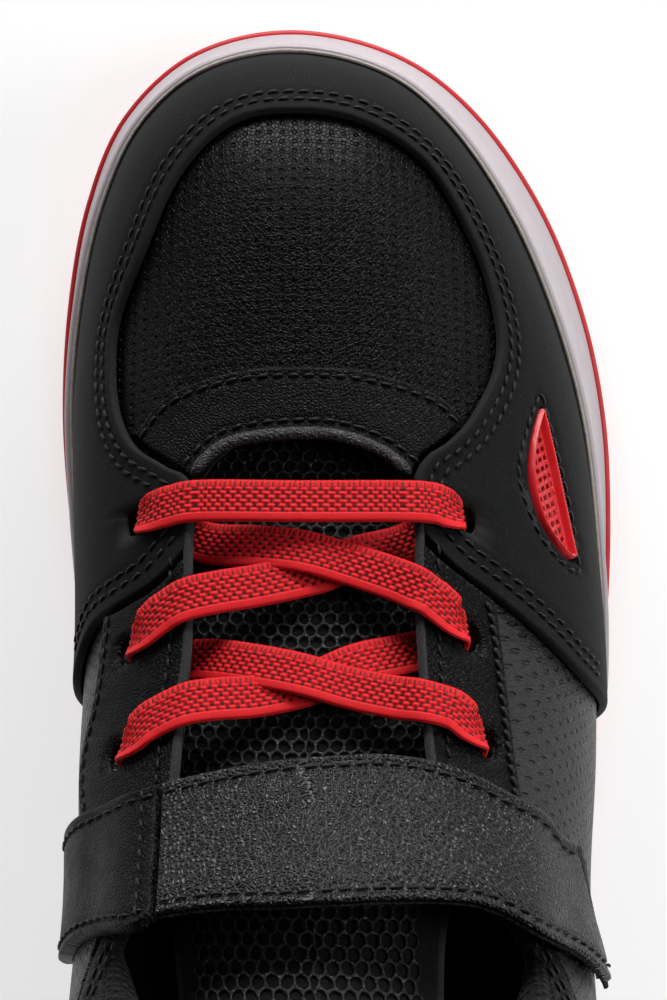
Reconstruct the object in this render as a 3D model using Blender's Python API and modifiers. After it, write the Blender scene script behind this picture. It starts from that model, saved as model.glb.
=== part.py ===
"""A child's right basketball high top, about EU 34, as an assembly of its real pieces.

+Y runs from the heel to the toe, +X to the outer side of the foot, +Z up, and the ground is z = 0.
Sizes are in millimetres and become metres where a mesh is made. The upper's layers are panels laid
over one form, as leather is laid over a last: each panel is a patch between pattern lines, at its
own height above or below the form's surface.
"""

import bmesh
import bpy
import numpy as np
from mathutils import Matrix, Vector

MM = 0.001
UP = np.array([0.0, 0.0, 1.0])
FORWARD = np.array([0.0, 1.0, 0.0])

# ---------------------------------------------------------------------------------------------
# The form
# ---------------------------------------------------------------------------------------------

# One row for each station from toe to heel: the sole's edge on the outer and on the inner side
# (x, y), the form's top line (centre x, half width, y, z), and the wall's fullness between them
# (how far its foot leans out and up, how far its head reaches out and down).
STATIONS = (
    ((-7.0, 115.9), (-7.0, 115.9), (-5.5, 0, 74.0, 54.8), (2, 17, 18, -3.4)),
    ((9.5, 112.3), (-22.7, 112.5), (-5.5, 0, 73.0, 55.0), (2, 17, 19, -3.2)),
    ((22.3, 103.1), (-34.1, 102.6), (-5.4, 0, 70.0, 55.5), (2, 17, 20, -2.6)),
    ((33.0, 88.2), (-40.2, 89.1), (-5.2, 0, 65.0, 56.5), (2, 18, 20, -1.4)),
    ((39.9, 71.3), (-43.3, 73.6), (-5.0, 0, 57.5, 58.2), (2, 20, 21, -0.6)),
    ((43.4, 54.5), (-44.4, 56.5), (-4.8, 0, 48.0, 60.8), (3, 23, 23, 0)),
    ((44.2, 37.6), (-43.4, 40.0), (-4.6, 0, 36.0, 65.2), (4, 28, 25, 0)),
    ((43.5, 20.7), (-41.0, 22.0), (-4.5, 0, 21.0, 71.5), (6, 33, 27, 0)),
    ((41.3, 4.0), (-37.8, 4.0), (-4.5, 0, 5.0, 80.5), (8, 40, 28, 0)),
    ((38.3, -14.0), (-35.0, -14.0), (-3.5, 0, -11.0, 94.0), (10, 47, 29, 0)),
    ((36.2, -31.0), (-33.4, -31.0), (-2.0, 0, -25.0, 109.5), (12, 60, 33, 0)),
    ((35.0, -45.0), (-32.6, -45.0), (-1.0, 0, -38.0, 127.0), (12, 66, 35, 0)),
    ((34.3, -58.0), (-32.2, -58.0), (0, 31.0, -50.0, 129.0), (11, 50, 4, -38)),
    ((33.4, -74.0), (-32.0, -74.0), (0, 32.0, -68.0, 126.0), (9, 42, 1, -36)),
    ((31.8, -90.0), (-31.3, -90.0), (0, 28.0, -90.0, 123.0), (7, 34, -2, -36)),
    ((24.0, -107.5), (-24.2, -107.5), (0, 17.0, -104.5, 121.5), (6, 28, -7, -33)),
    ((0.4, -116.2), (0.4, -116.2), (0.4, 0, -109.0, 121.0), (6, 26, -10, -30)),
)
HEEL = len(STATIONS) - 1
LOOP = 2 * HEEL
STEP = 1e-3

TOE_SPRING = 9.5
SPRING_START = 45.0
HEEL_BEVEL = 2.0
BEVEL_START = -100.0


def loop(pick):
    """One value for each station, from the toe along the outer side to the heel and back inside."""
    outer = [pick(station, 1) for station in STATIONS]
    inner = [pick(station, -1) for station in STATIONS[1:-1]]
    return np.array(outer + inner[::-1], float)


def along(values, place, closed=True):
    """A smooth curve through the rows of values, read at the given places along them."""
    place = np.asarray(place, float)
    count = len(values)
    first = np.floor(place).astype(int)
    if not closed:
        first = np.clip(first, 0, count - 2)
    part = (place - first)[..., None]
    if closed:
        p = [values[(first + k) % count] for k in (-1, 0, 1, 2)]
    else:
        before = 2 * values[0] - values[1]
        after = 2 * values[-1] - values[-2]
        longer = np.vstack([before, values, after])
        p = [longer[first + k] for k in (0, 1, 2, 3)]
    return 0.5 * (
        2 * p[1]
        + (p[2] - p[0]) * part
        + (2 * p[0] - 5 * p[1] + 4 * p[2] - p[3]) * part**2
        + (3 * p[1] - p[0] - 3 * p[2] + p[3]) * part**3
    )


def unit(vectors):
    return vectors / np.linalg.norm(vectors, axis=-1, keepdims=True)


EDGE = loop(lambda station, side: (*station[0 if side > 0 else 1], 0.0))
TOP = loop(lambda station, side: (station[2][0] + side * station[2][1], *station[2][2:]))
FULLNESS = loop(lambda station, side: station[3])
AHEAD = along(EDGE, np.arange(LOOP) + STEP) - along(EDGE, np.arange(LOOP) - STEP)
OUTWARD = unit(np.stack([-AHEAD[:, 1], AHEAD[:, 0], 0 * AHEAD[:, 0]], axis=1))


def wall_inset(points):
    """How far the form's foot stands in from the sole's edge, which is more on the outer forefoot."""
    inset = np.interp(points[:, 1], [-116, -60, -20, 5, 30, 80, 116], [5.7, 4.8, 4.2, 4.6, 6.1, 6.6, 8.2])
    outer = np.interp(points[:, 1], [0, 20, 45, 65, 90, 112], [0, 0.4, 1.4, 2.5, 2.3, 0.6])
    return inset + outer * np.clip(points[:, 0] / 20, 0, 1)


def feather_height(y):
    """The height of the line where the upper meets its board."""
    return np.interp(y, [-116, -60, 0, 60, 90, 116], [25, 22, 21.5, 21.5, 23, 25])


def inner_bulge(points):
    """How much fuller the inner side is, behind the toe overlay."""
    bulge = np.interp(points[:, 1], [-116, -90, -60, -25, -5, 8, 14, 24], [0, 1.0, 2.5, 3.4, 2.8, 2.2, 1.5, 0])
    return bulge * (points[:, 0] < 0)


def form_controls():
    foot = EDGE - wall_inset(EDGE)[:, None] * OUTWARD
    foot[:, 2] = feather_height(foot[:, 1])
    more = inner_bulge(EDGE)[:, None] * OUTWARD
    low = foot + FULLNESS[:, 0:1] * OUTWARD + FULLNESS[:, 1:2] * UP + more
    high = TOP + FULLNESS[:, 2:3] * OUTWARD + FULLNESS[:, 3:4] * UP + more
    return foot, low, high, TOP + 0.5 * more * (EDGE[:, 1:2] < -50)


CONTROLS = form_controls()


def form(s, t):
    """The form's surface: s counts stations round the shoe, and t goes from wall foot to top line."""
    s, t = np.broadcast_arrays(np.asarray(s, float), np.asarray(t, float))
    foot, low, high, top = (along(rows, s) for rows in CONTROLS)
    t = t[..., None]
    return foot * (1 - t) ** 3 + 3 * low * t * (1 - t) ** 2 + 3 * high * t**2 * (1 - t) + top * t**3


def form_normal(s, t):
    t = np.minimum(t, 0.999 - STEP)
    round_it = form(s + STEP, t) - form(s - STEP, t)
    up_it = form(s, t + STEP) - form(s, t - STEP)
    return unit(np.cross(up_it, round_it))


GRID_S, GRID_T = np.meshgrid(np.arange(0, LOOP, 0.25), np.linspace(0, 1, 33), indexing="ij")
GRID = form(GRID_S, GRID_T).reshape(-1, 3)


def refine(points, s, t, axes):
    """Walks each (s, t) until the form's point there is nearest the given one along these axes."""
    for _ in range(8):
        here = form(s, t)
        off = (points - here)[:, axes]
        by_s = ((form(s + STEP, t) - here) / STEP)[:, axes]
        by_t = ((form(s, t - STEP) - here) / -STEP)[:, axes]
        ss = (by_s * by_s).sum(1) + 1e-6
        tt = (by_t * by_t).sum(1) + 1e-6
        st = (by_s * by_t).sum(1)
        rs = (by_s * off).sum(1)
        rt = (by_t * off).sum(1)
        det = ss * tt - st * st + 1e-9
        s = s + np.clip((tt * rs - st * rt) / det, -0.4, 0.4)
        t = np.clip(t + np.clip((ss * rt - st * rs) / det, -0.1, 0.1), -0.1, 1.0)
    return s, t, np.linalg.norm((points - form(s, t))[:, axes], axis=1)


def locate(points, axes=(0, 1, 2)):
    """The (s, t) of the form's points nearest to these."""
    axes = list(axes)
    points = np.asarray(points, float)
    gaps = np.linalg.norm(points[:, None, axes] - GRID[None, :, axes], axis=2)
    if len(axes) == 2:
        gaps = gaps - 0.02 * GRID[None, :, 2]
    nearest = gaps.argmin(1)
    s = GRID_S.reshape(-1)[nearest]
    t = GRID_T.reshape(-1)[nearest]
    best = refine(points, s, t, axes)
    other = refine(points, (LOOP - s) % LOOP, t, axes)
    swap = (t > 0.85) & (other[2] < best[2] - 1e-6)
    return np.where(swap, other[0], best[0]), np.where(swap, other[1], best[1])


def laid(points, lift=0.0):
    """Points brought to the form's surface and raised by lift along its normal."""
    s, t = locate(points)
    return form(s, t) + np.asarray(lift, float)[..., None] * form_normal(s, t)


def line(*places):
    """A pattern line: (x, y) is a place on the form seen from above, (x, y, z) one beside its wall."""
    points = np.array([(*place, 0.0)[:3] for place in places], float)
    from_above = np.array([len(place) == 2 for place in places])
    if from_above.any():
        points[from_above] = form(*locate(points[from_above], (0, 1)))
    return points


def foot_line(start, stop, t=0.0, count=24):
    """The wall's foot from station start to station stop."""
    s = np.linspace(start, stop, count)
    return form(s, np.full(count, t))


def spaced(points, count):
    """The smooth curve through the points, read at count places an equal way apart."""
    fine = along(points, np.linspace(0, len(points) - 1, 12 * len(points)), closed=False)
    walked = np.concatenate([[0], np.cumsum(np.linalg.norm(np.diff(fine, axis=0), axis=1))])
    wanted = np.linspace(0, walked[-1], count)
    return np.stack([np.interp(wanted, walked, fine[:, k]) for k in range(3)], axis=1)


def patch(low, high, start=None, stop=None, size=(16, 4), fade=6):
    """A grid of points between four pattern lines: low and high run the same way.

    The bend of the start and stop lines fades out quickly along the grid.
    """
    along_count, across_count = size[0] + 1, size[1] + 1
    low = spaced(low, along_count)
    high = spaced(high, along_count)
    ends = []
    for end, index in ((start, 0), (stop, -1)):
        middle = [] if end is None else list(end)
        ends.append(spaced(np.array([low[index], *middle, high[index]]), across_count))
    u = np.linspace(0, 1, along_count)[:, None, None]
    v = np.linspace(0, 1, across_count)[None, :, None]
    ruled = (1 - v) * low[:, None] + v * high[:, None]
    bends = [end - line_points for end, line_points in zip(ends, (ruled[0], ruled[-1]))]
    return ruled + (1 - u) ** fade * bends[0] + u**fade * bends[1]


# ---------------------------------------------------------------------------------------------
# Meshes and materials
# ---------------------------------------------------------------------------------------------


def new_collection(name, shown=True):
    collection = bpy.data.collections.new(name)
    bpy.context.scene.collection.children.link(collection)
    collection.hide_render = not shown
    return collection


for old in list(bpy.data.objects):
    bpy.data.objects.remove(old, do_unlink=True)
SHOE = new_collection("basketball_high_top")
CUTTERS = new_collection("cutters", shown=False)
EYELET_CUTTERS = new_collection("eyelet_cutters", shown=False)

BLACK_LEATHER = ("black_leather", (0.018, 0.018, 0.02), 0.42)
BLACK_NUBUCK = ("black_nubuck", (0.022, 0.023, 0.025), 0.75)
BLACK_MESH = ("black_mesh", (0.012, 0.012, 0.013), 0.6)
BLACK_LINING = ("black_lining", (0.016, 0.016, 0.018), 0.9)
RED_RUBBER = ("red_rubber", (0.62, 0.02, 0.03), 0.5)
GREY_RUBBER = ("grey_rubber", (0.5, 0.47, 0.49), 0.4)
RED_PLASTIC = ("red_plastic", (0.7, 0.03, 0.03), 0.4)
RED_ELASTIC = ("red_elastic", (0.7, 0.02, 0.03), 0.8)
WHITE_FOAM = ("white_foam", (0.75, 0.74, 0.7), 0.9)
BOARD = ("board", (0.5, 0.45, 0.38), 0.9)
HOOK_TAPE = ("hook_tape", (0.015, 0.015, 0.016), 0.85)


def material(finish):
    name, colour, roughness = finish
    found = bpy.data.materials.get(name)
    if found is None:
        found = bpy.data.materials.new(name)
        found.use_nodes = True
        shader = found.node_tree.nodes["Principled BSDF"]
        shader.inputs["Base Color"].default_value = (*colour, 1.0)
        shader.inputs["Roughness"].default_value = roughness
        shader.inputs["Metallic"].default_value = 0.0
        found.diffuse_color = (*colour, 1.0)
    return found


def new_object(name, mesh, finish=None, collection=None):
    obj = bpy.data.objects.new(name, mesh)
    (collection or SHOE).objects.link(obj)
    if finish is None:
        obj.display_type = "WIRE"
        obj.hide_render = True
    else:
        mesh.materials.append(material(finish))
    return obj


def from_bmesh(name, bm, finish=None, collection=None):
    mesh = bpy.data.meshes.new(name)
    bm.to_mesh(mesh)
    bm.free()
    return new_object(name, mesh, finish, collection)


def panel(name, grid, lift, thickness, finish=None, collection=None):
    """An open sheet laid over the form, its face at lift, made solid downwards by thickness."""
    rows, columns = grid.shape[:2]
    flat = grid.reshape(-1, 3)
    s, t = locate(flat)
    normals = form_normal(s, t)
    base = form(s, t)
    lift = np.broadcast_to(np.asarray(lift(base) if callable(lift) else lift, float), len(flat))
    points = base + lift[:, None] * normals
    bm = bmesh.new()
    bmesh.ops.create_grid(bm, x_segments=rows - 1, y_segments=columns - 1, size=1.0)
    order = sorted(bm.verts, key=lambda vert: (round(vert.co.x, 5), round(vert.co.y, 5)))
    for vert, point in zip(order, points):
        vert.co = Vector(point) * MM
    bm.normal_update()
    facing = sum(Vector(normals[0]).dot(face.normal) for face in order[0].link_faces)
    if facing < 0:
        bmesh.ops.reverse_faces(bm, faces=bm.faces[:])
    obj = from_bmesh(name, bm, finish, collection)
    solid = obj.modifiers.new("thickness", "SOLIDIFY")
    solid.offset = -1.0
    solid.use_even_offset = True
    if callable(thickness):
        amounts = np.broadcast_to(thickness(base), len(flat))
        solid.thickness = float(amounts.max()) * MM
        group = obj.vertex_groups.new(name="thickness")
        for vert, amount in zip(sorted_vertices(obj, points), amounts):
            group.add([vert], float(amount / amounts.max()), "REPLACE")
        solid.vertex_group = group.name
    else:
        solid.thickness = thickness * MM
    return obj


def sorted_vertices(obj, points):
    """The mesh's vertex index for each of the points it was made from."""
    places = np.array([vert.co for vert in obj.data.vertices]) / MM
    return [int(np.linalg.norm(places - point, axis=1).argmin()) for point in points]


def set_pivot(obj, point):
    """Puts the object's origin on its joint's axis."""
    obj.data.transform(Matrix.Translation(Vector(point) * -MM))
    obj.location = Vector(point) * MM


def subtract(obj, cutter):
    cut = obj.modifiers.new("cut", "BOOLEAN")
    cut.operation = "DIFFERENCE"
    if isinstance(cutter, bpy.types.Collection):
        cut.operand_type = "COLLECTION"
        cut.collection = cutter
    else:
        cut.object = cutter


def lofted(name, rings, finish):
    """A closed body through a stack of rings, each capped by strips from its outer to inner side."""
    count = len(rings[0])
    half = count // 2
    bm = bmesh.new()
    verts = [[bm.verts.new(Vector(point) * MM) for point in ring] for ring in rings]
    for lower, upper in zip(verts, verts[1:]):
        for k in range(count):
            after = (k + 1) % count
            bm.faces.new((lower[after], lower[k], upper[k], upper[after]))
    for ring, flip in ((verts[0], False), (verts[-1], True)):
        for k in range(half):
            corners = [ring[k], ring[k + 1], ring[count - k - 1], ring[(count - k) % count]]
            corners = list(dict.fromkeys(corners))
            bm.faces.new(corners[::-1] if flip else corners)
    bmesh.ops.recalc_face_normals(bm, faces=bm.faces[:])
    return from_bmesh(name, bm, finish)


# ---------------------------------------------------------------------------------------------
# The sole unit
# ---------------------------------------------------------------------------------------------

OUTSOLE = 4.0
CUP_FLOOR = 3.0
LIP = 1.8
GAP = 0.3

TOE_STEPS = np.arange(0, 4, 1 / 3)
SIDE_STEPS = np.arange(4, HEEL, 1 / 2)
HALF_STEPS = np.concatenate([TOE_STEPS, SIDE_STEPS])
RING_STEPS = np.concatenate([HALF_STEPS, [HEEL], LOOP - HALF_STEPS[:0:-1]])


def ground(y):
    """The outsole's underside, which lifts at the toe and a little at the heel."""
    toe = np.clip((y - SPRING_START) / (116 - SPRING_START), 0, None) ** 2 * TOE_SPRING
    heel = np.clip((BEVEL_START - y) / 16, 0, None) ** 2 * HEEL_BEVEL
    return toe + heel


def lip_height(y):
    """The top of the cupsole's wall."""
    return np.interp(y, [-116, -60, -10, 50, 85, 116], [31, 28.5, 27, 27.5, 29, 31])


def ring(inset, height):
    """The sole's edge moved in by inset, at a height that may depend on y."""
    edge = along(EDGE, RING_STEPS)
    inset = inset(edge) if callable(inset) else inset
    points = edge - np.broadcast_to(inset, len(edge))[:, None] * along(OUTWARD, RING_STEPS)
    points[:, 2] = height(edge[:, 1]) if callable(height) else height
    return points


def cup_clearance(y):
    """What the overlays on the upper need between the form and the cup's inner wall."""
    return np.interp(y, [-57, -49, -4, 4], [2.5, 0.8, 0.8, 2.5])


def cup_inside(height, extra=0.0):
    """The cup's inner wall, which follows the form at this height."""
    t = np.linspace(0, 0.4, 60)
    wall = form(RING_STEPS[:, None], t[None, :])
    wanted = height(wall[:, 0, 1])
    found = np.array([np.interp(z, w[:, 2], t) for z, w in zip(wanted, wall)])
    points = form(RING_STEPS, found)
    away = cup_clearance(points[:, 1]) + extra
    points = points + away[:, None] * along(OUTWARD, RING_STEPS)
    points[:, 2] = wanted
    return points


def make_outsole():
    top = OUTSOLE
    rings = [
        ring(1.4, ground),
        ring(0.0, lambda y: ground(y) + 1.2),
        ring(0.0, lambda y: ground(y) + top),
    ]
    outsole = lofted("outsole", rings, RED_RUBBER)
    chevrons = [(y, 30.0) for y in (62, 44, 26, 8)] + [(y, 24.0) for y in (-62, -80)]
    for number, (y, half_width) in enumerate(chevrons):
        subtract(outsole, tread_groove(f"tread_groove_{number}", y, half_width))


def tread_groove(name, y, half_width, depth=1.5, width=2.0, point=7.0):
    """A zigzag groove across the underside, open at the ground."""
    legs = 4
    bm = bmesh.new()
    low, high = -3.0 + ground(y), depth + ground(y)
    rows = []
    for k in range(legs + 1):
        x = half_width * (2 * k / legs - 1)
        tip = y + (point if k % 2 else 0.0)
        corners = [(x, tip - width / 2, low), (x, tip + width / 2, low)]
        corners += [(x, tip + width / 2, high), (x, tip - width / 2, high)]
        rows.append([bm.verts.new(Vector(corner) * MM) for corner in corners])
    for first, second in zip(rows, rows[1:]):
        for k in range(4):
            bm.faces.new((first[k], first[(k + 1) % 4], second[(k + 1) % 4], second[k]))
    bm.faces.new(rows[0][::-1])
    bm.faces.new(rows[-1])
    bmesh.ops.recalc_face_normals(bm, faces=bm.faces[:])
    return from_bmesh(name, bm, collection=CUTTERS)


def make_cupsole():
    bottom = OUTSOLE + GAP
    lip = cup_inside(lip_height)
    outer_lip = cup_inside(lip_height, LIP)
    shoulder = 0.5 * outer_lip + 0.5 * ring(0.9, lip_height)
    shoulder[:, 2] = outer_lip[:, 2] * 0.72 + (ground(outer_lip[:, 1]) + bottom) * 0.28
    floor = cup_inside(lambda y: ground(y) + bottom + CUP_FLOOR + 2.0)
    floor[:, 2] -= 2.0
    rings = [ring(0.9, lambda y: ground(y) + bottom), shoulder, outer_lip, lip]
    rings += [cup_inside(feather_height), floor]
    lofted("cupsole", rings, GREY_RUBBER)


def make_sole_filling():
    def foam_bottom(y):
        return ground(y) + OUTSOLE + CUP_FLOOR + 2 * GAP

    inset = lambda points: wall_inset(points) + 0.4
    rings = [ring(inset, foam_bottom), ring(inset, lambda y: feather_height(y) - 2.0)]
    lofted("midsole_foam", rings, WHITE_FOAM)
    rings = [ring(inset, lambda y: feather_height(y) - lower) for lower in (1.6, 0.4)]
    lofted("strobel_board", rings, BOARD)
    inset = lambda points: wall_inset(points) + 5.2
    rings = [ring(inset, lambda y: feather_height(y) + higher) for higher in (0.0, 3.6)]
    lofted("insole_foam", rings, WHITE_FOAM)
    rings = [ring(inset, lambda y: feather_height(y) + higher) for higher in (3.9, 4.7)]
    lofted("insole_cover", rings, BLACK_LINING)


# ---------------------------------------------------------------------------------------------
# The upper
# ---------------------------------------------------------------------------------------------

OVERLAY = 1.5
MAIN = 0.0
UNDER = -1.4
LEATHER = 1.2
THIN = 1.0

# Pattern lines that two pieces share.
WINDOW = (
    (-20.5, 43.5), (-24.0, 46.0), (-28.5, 49.0), (-31.0, 53.7), (-31.9, 60.0), (-31.4, 67.5),
    (-27.7, 77.5), (-22.0, 89.7), (-14.6, 96.5), (-5.5, 97.8), (3.0, 96.4), (12.8, 90.0),
    (19.9, 77.4), (22.6, 67.3), (22.3, 60.5), (18.8, 53.3), (15.3, 49.5), (12.2, 47.3), (10.6, 43.8),
)
THROAT_INNER = ((-20.4, 34.0), (-20.3, 27.0), (-20.3, 20.0), (-21.1, 13.0), (-21.4, 5.0), (-22.0, -3.0))
THROAT_OUTER = ((11.0, 35.4), (10.9, 27.0), (11.3, 17.0), (12.0, 7.2), (13.0, -2.0))
INNER_EYELETS = ((-28.3, 38.0), (-28.9, 20.0), (-29.7, 5.9))
OUTER_EYELETS = ((17.9, 38.4), (18.2, 22.0), (20.2, 7.6))
VENT_HIGH = ((28.6, 54.4), (27.3, 49.7), (27.0, 44.0), (28.4, 38.2), (30.9, 34.2), (32.6, 32.6))
VENT_LOW = ((29.0, 54.2), (30.2, 48.6), (31.7, 41.0), (32.8, 35.4), (33.3, 32.9))
VENT_CENTRE = np.array([30.3, 43.5])


def make_toe_overlay():
    inner = line((-20.4, 34.7), *WINDOW, (11.4, 36.8))
    inner_end = line((-35.6, 12.5, 42), (-35.6, 17.5, 49.5), (-33.6, 23.2, 54.8), (-30.2, 26.2), (-25.4, 29.4))
    outer_end = line((37.6, 11.0, 40), (36.2, 13.5, 49), (33.2, 17.2, 55), (27.5, 22.6), (20.8, 28.2), (16.0, 31.8))
    grid = patch(foot_line(LOOP - 7.9, LOOP + 7.9, count=40), inner, inner_end, outer_end, size=(46, 6))
    overlay = panel("toe_overlay", grid, OVERLAY + 0.2, LEATHER, BLACK_NUBUCK)
    subtract(overlay, EYELET_CUTTERS)
    subtract(overlay, vent_blank("vent_window", 0.5, 3.5, 5.0))


def vent_blank(name, grow, lift, thickness, finish=None):
    """The vent's almond outline, grown by this much, as a body over the form."""
    def grown(places):
        places = np.array(places)
        away = places - VENT_CENTRE
        return line(*(places + away * grow / np.linalg.norm(away, axis=1, keepdims=True)))

    grid = patch(grown(VENT_LOW), grown(VENT_HIGH), size=(10, 2))
    return panel(name, grid, lift, thickness, finish, None if finish else CUTTERS)


def make_vent():
    vent = vent_blank("vent_insert", 0.0, 2.2, 3.0, RED_PLASTIC)
    subtract(vent, vent_blank("vent_recess", -1.2, 5.0, 4.2))


def make_toe_box():
    front = line(
        (-33.6, 53.5), (-34.6, 61.0), (-33.8, 70.0), (-30.6, 80.5), (-25.2, 92.2), (-16.0, 99.3),
        (-5.5, 101.0), (4.6, 99.4), (15.2, 92.2), (22.2, 79.8), (25.5, 68.5), (25.4, 59.5), (23.5, 53.5),
    )
    rear = line((-30.5, 50.5), (-24.0, 52.6), (-14.0, 54.3), (-5.5, 54.8), (4.0, 54.0), (13.0, 52.0), (19.0, 50.0))
    panel("toe_box", patch(front, rear, size=(22, 8)), MAIN, THIN, BLACK_LEATHER)


def make_vamp_tip():
    front = line(
        (-28.6, 50.6), (-24.8, 55.5), (-19.3, 58.3), (-12.4, 59.9), (-5.4, 60.2),
        (1.7, 59.9), (8.5, 58.4), (14.2, 56.1), (17.6, 52.8),
    )
    rear = line(
        (-20.2, 44.6), (-17.0, 48.0), (-13.7, 49.5), (-8.2, 50.3), (-2.3, 50.4),
        (1.5, 49.7), (5.8, 48.0), (8.6, 45.9), (10.0, 44.8),
    )
    start = line((-26.6, 48.9), (-23.4, 46.7))
    stop = line((14.2, 49.6), (11.4, 47.6))
    panel("vamp_tip", patch(front, rear, start, stop, size=(18, 3)), OVERLAY - 0.3, 0.9, BLACK_LEATHER)


def make_eyestays():
    low = line((-31.6, 24.6, 57), (-32.2, 18.0, 59), (-32.4, 13.0, 60.5), (-33.0, 2.0, 63), (-32.0, -8.0, 72))
    high = line((-20.4, 33.9), *THROAT_INNER[1:], (-23.5, -8.5))
    front = line((-29.9, 25.6), (-25.0, 28.7))
    inner = panel("eyestay_inner", patch(low, high, front, size=(10, 3)), OVERLAY, LEATHER, BLACK_LEATHER)
    low = line((21.2, 27.0), (22.0, 23.0), (23.0, 13.3), (24.0, 3.2), (25.5, -7.5))
    high = line((11.2, 35.5), *THROAT_OUTER[1:], (14.5, -8.5))
    front = line((15.6, 31.4))
    outer = panel("eyestay_outer", patch(low, high, front, size=(10, 3)), OVERLAY, LEATHER, BLACK_LEATHER)
    subtract(inner, EYELET_CUTTERS)
    subtract(outer, EYELET_CUTTERS)


def heel_seam(side, *heights):
    """Points up the back of the heel, just beside its middle."""
    return line(*((0.4 + side * 0.4, -112.0 + 0.04 * z, z) for z in heights))


QUARTER_TOP = ((29.5, -14.5, 81), (32.5, -22.0, 82.5), (34.0, -35, 86), (34.0, -55, 88), (33.0, -75, 86), (27.0, -94, 84), (14.0, -105, 83))
COLLAR_TOP = ((33.6, -22.5, 94), (34.3, -35, 104), (33.3, -52, 111), (32, -72, 112.5), (27, -92, 111.5), (15.5, -104, 113))


def across(places):
    """The same places on the inner side of the foot."""
    return tuple((-place[0] + (0.8 if place[1] < -20 else -0.6), *place[1:]) for place in places)


def raised(places, lift):
    return tuple((x, y, z + lift) for x, y, z in places)


def make_quarters():
    for side, name in ((1, "quarter_outer"), (-1, "quarter_inner")):
        if side > 0:
            throat = ((13.0, 31.0), (13.0, 20.0), (13.4, 8.0), (14.4, -2.0), (17.0, -9.5), (24.0, -12.8))
            front = line((39.0, 16.0, 38), (36.0, 21.5, 51), (28.0, 28.0), (19.0, 32.0))
            foot = foot_line(7.3, HEEL - 0.02)
            top = line(*throat, *QUARTER_TOP, (0.8, -108.2, 82))
        else:
            throat = ((-21.9, 31.0), (-21.9, 20.0), (-22.7, 10.0), (-23.0, 2.0), (-25.0, -6.0), (-27.5, -11.5))
            front = line((-37.5, 17.0, 38), (-37.0, 23.0, 50), (-32.5, 29.0, 57), (-27.0, 31.5))
            foot = foot_line(LOOP - 7.3, HEEL + 0.02)
            top = line(*throat, *across(QUARTER_TOP), (0.0, -108.2, 82))
        grid = patch(foot, top, front, heel_seam(side, 45, 65), size=(26, 7))
        obj = panel(name, grid, MAIN, THIN, BLACK_LEATHER)
        subtract(obj, EYELET_CUTTERS)


def make_collar():
    for side, name in ((1, "collar_panel_outer"), (-1, "collar_panel_inner")):
        places = [raised(QUARTER_TOP, 0.7 if side > 0 else 1.1), ((31.2, -17.0, 86.0), *COLLAR_TOP)]
        if side < 0:
            places = [across(group) for group in places]
        middle = 0.4 + side * 0.4
        low = line(*places[0], (middle, -108.1, 82.7))
        high = line(*places[1], (middle, -107.0, 116))
        panel(name, patch(low, high, size=(20, 4)), MAIN, THIN, BLACK_LEATHER)


def collar_stuffing(points, start=80.0):
    """The padding's thickness, which grows from nothing at the collar's front and lower edges."""
    back = np.clip((-14.0 - points[:, 1]) / 16.0, 0, 1)
    up = np.clip((points[:, 2] - start) / 12.0, 0, 1)
    return 5.6 * back * back * (3 - 2 * back) * up * up * (3 - 2 * up)


def make_collar_foam():
    low_places = raised(QUARTER_TOP, 4.5)[1:]
    high_places = raised(COLLAR_TOP, -1.6)
    low = line(*across(low_places), (0.4, -107.5, 87.0), *low_places[::-1])
    high = line(*across(high_places), (0.4, -107, 114), *high_places[::-1])
    thickness = lambda points: np.maximum(collar_stuffing(points), 0.7)
    panel("collar_foam", patch(low, high, size=(34, 6)), UNDER - 0.4, thickness, WHITE_FOAM)


def lining_lift(points):
    """Under the upper, over the heel counter and round the collar's padding."""
    heel = np.clip((-44.0 - points[:, 1]) / 10.0, 0, 1)
    low = np.clip((80.0 - points[:, 2]) / 8.0, 0, 1)
    counter = 2.0 * heel * low
    behind = np.clip((-8.0 - points[:, 1]) / 8.0, 0, 1)
    padding = np.maximum(collar_stuffing(points, 73.0), 0.7 * behind) + 0.9 * behind
    return UNDER - 0.3 - np.maximum(counter, padding)


def make_linings():
    places = raised(COLLAR_TOP, -0.4)
    foot = foot_line(LOOP - 8.2, HEEL, t=0.01, count=30)
    foot = np.vstack([foot, foot_line(HEEL, 8.2, t=0.01, count=30)[1:]])
    top = line(
        (-22.2, 4.4), (-23.6, -5.0), (-27.5, -12.0), (-31.4, -17.2, 84), *across(places), (0.4, -107, 115),
        *places[::-1], (30.6, -17.2, 85), (24.0, -13.5), (16.5, -9.0), (13.8, 5.2),
    )
    grid = patch(foot, top, size=(48, 10))
    lining = panel("collar_lining", grid, lining_lift, 0.7, BLACK_LINING)
    subtract(lining, EYELET_CUTTERS)
    throat = line(
        (-22.2, 8.4), (-21.6, 14.0), (-21.2, 24.0), (-21.2, 36.0), (-19.8, 45.0), (-13.8, 50.3), (-5.5, 51.2),
        (4.0, 49.5), (9.4, 45.6), (11.7, 37.0), (12.0, 26.0), (12.6, 14.0), (13.6, 8.6),
    )
    foot = foot_line(LOOP - 7.7, LOOP + 7.7, t=0.01, count=44)
    start = line((-36.4, 8.0, 50), (-33.0, 8.0, 62))
    stop = line((36.4, 8.6, 50), (31.0, 8.6, 63))
    vamp = panel("vamp_lining", patch(foot, throat, start, stop, size=(40, 6)), UNDER - 0.3, 0.6, BLACK_LINING)
    subtract(vamp, EYELET_CUTTERS)


def make_heel_counter():
    top = line((33.0, -58, 40), (31.0, -80, 60), (18.0, -102, 66), (0.4, -108, 67), (-17.0, -102, 66), (-30.5, -80, 60), (-32.5, -58, 40))
    foot = foot_line(12.3, LOOP - 12.3, t=0.02)
    panel("heel_counter", patch(foot, top, size=(28, 4)), UNDER - 0.1, 1.1, BOARD)


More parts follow.
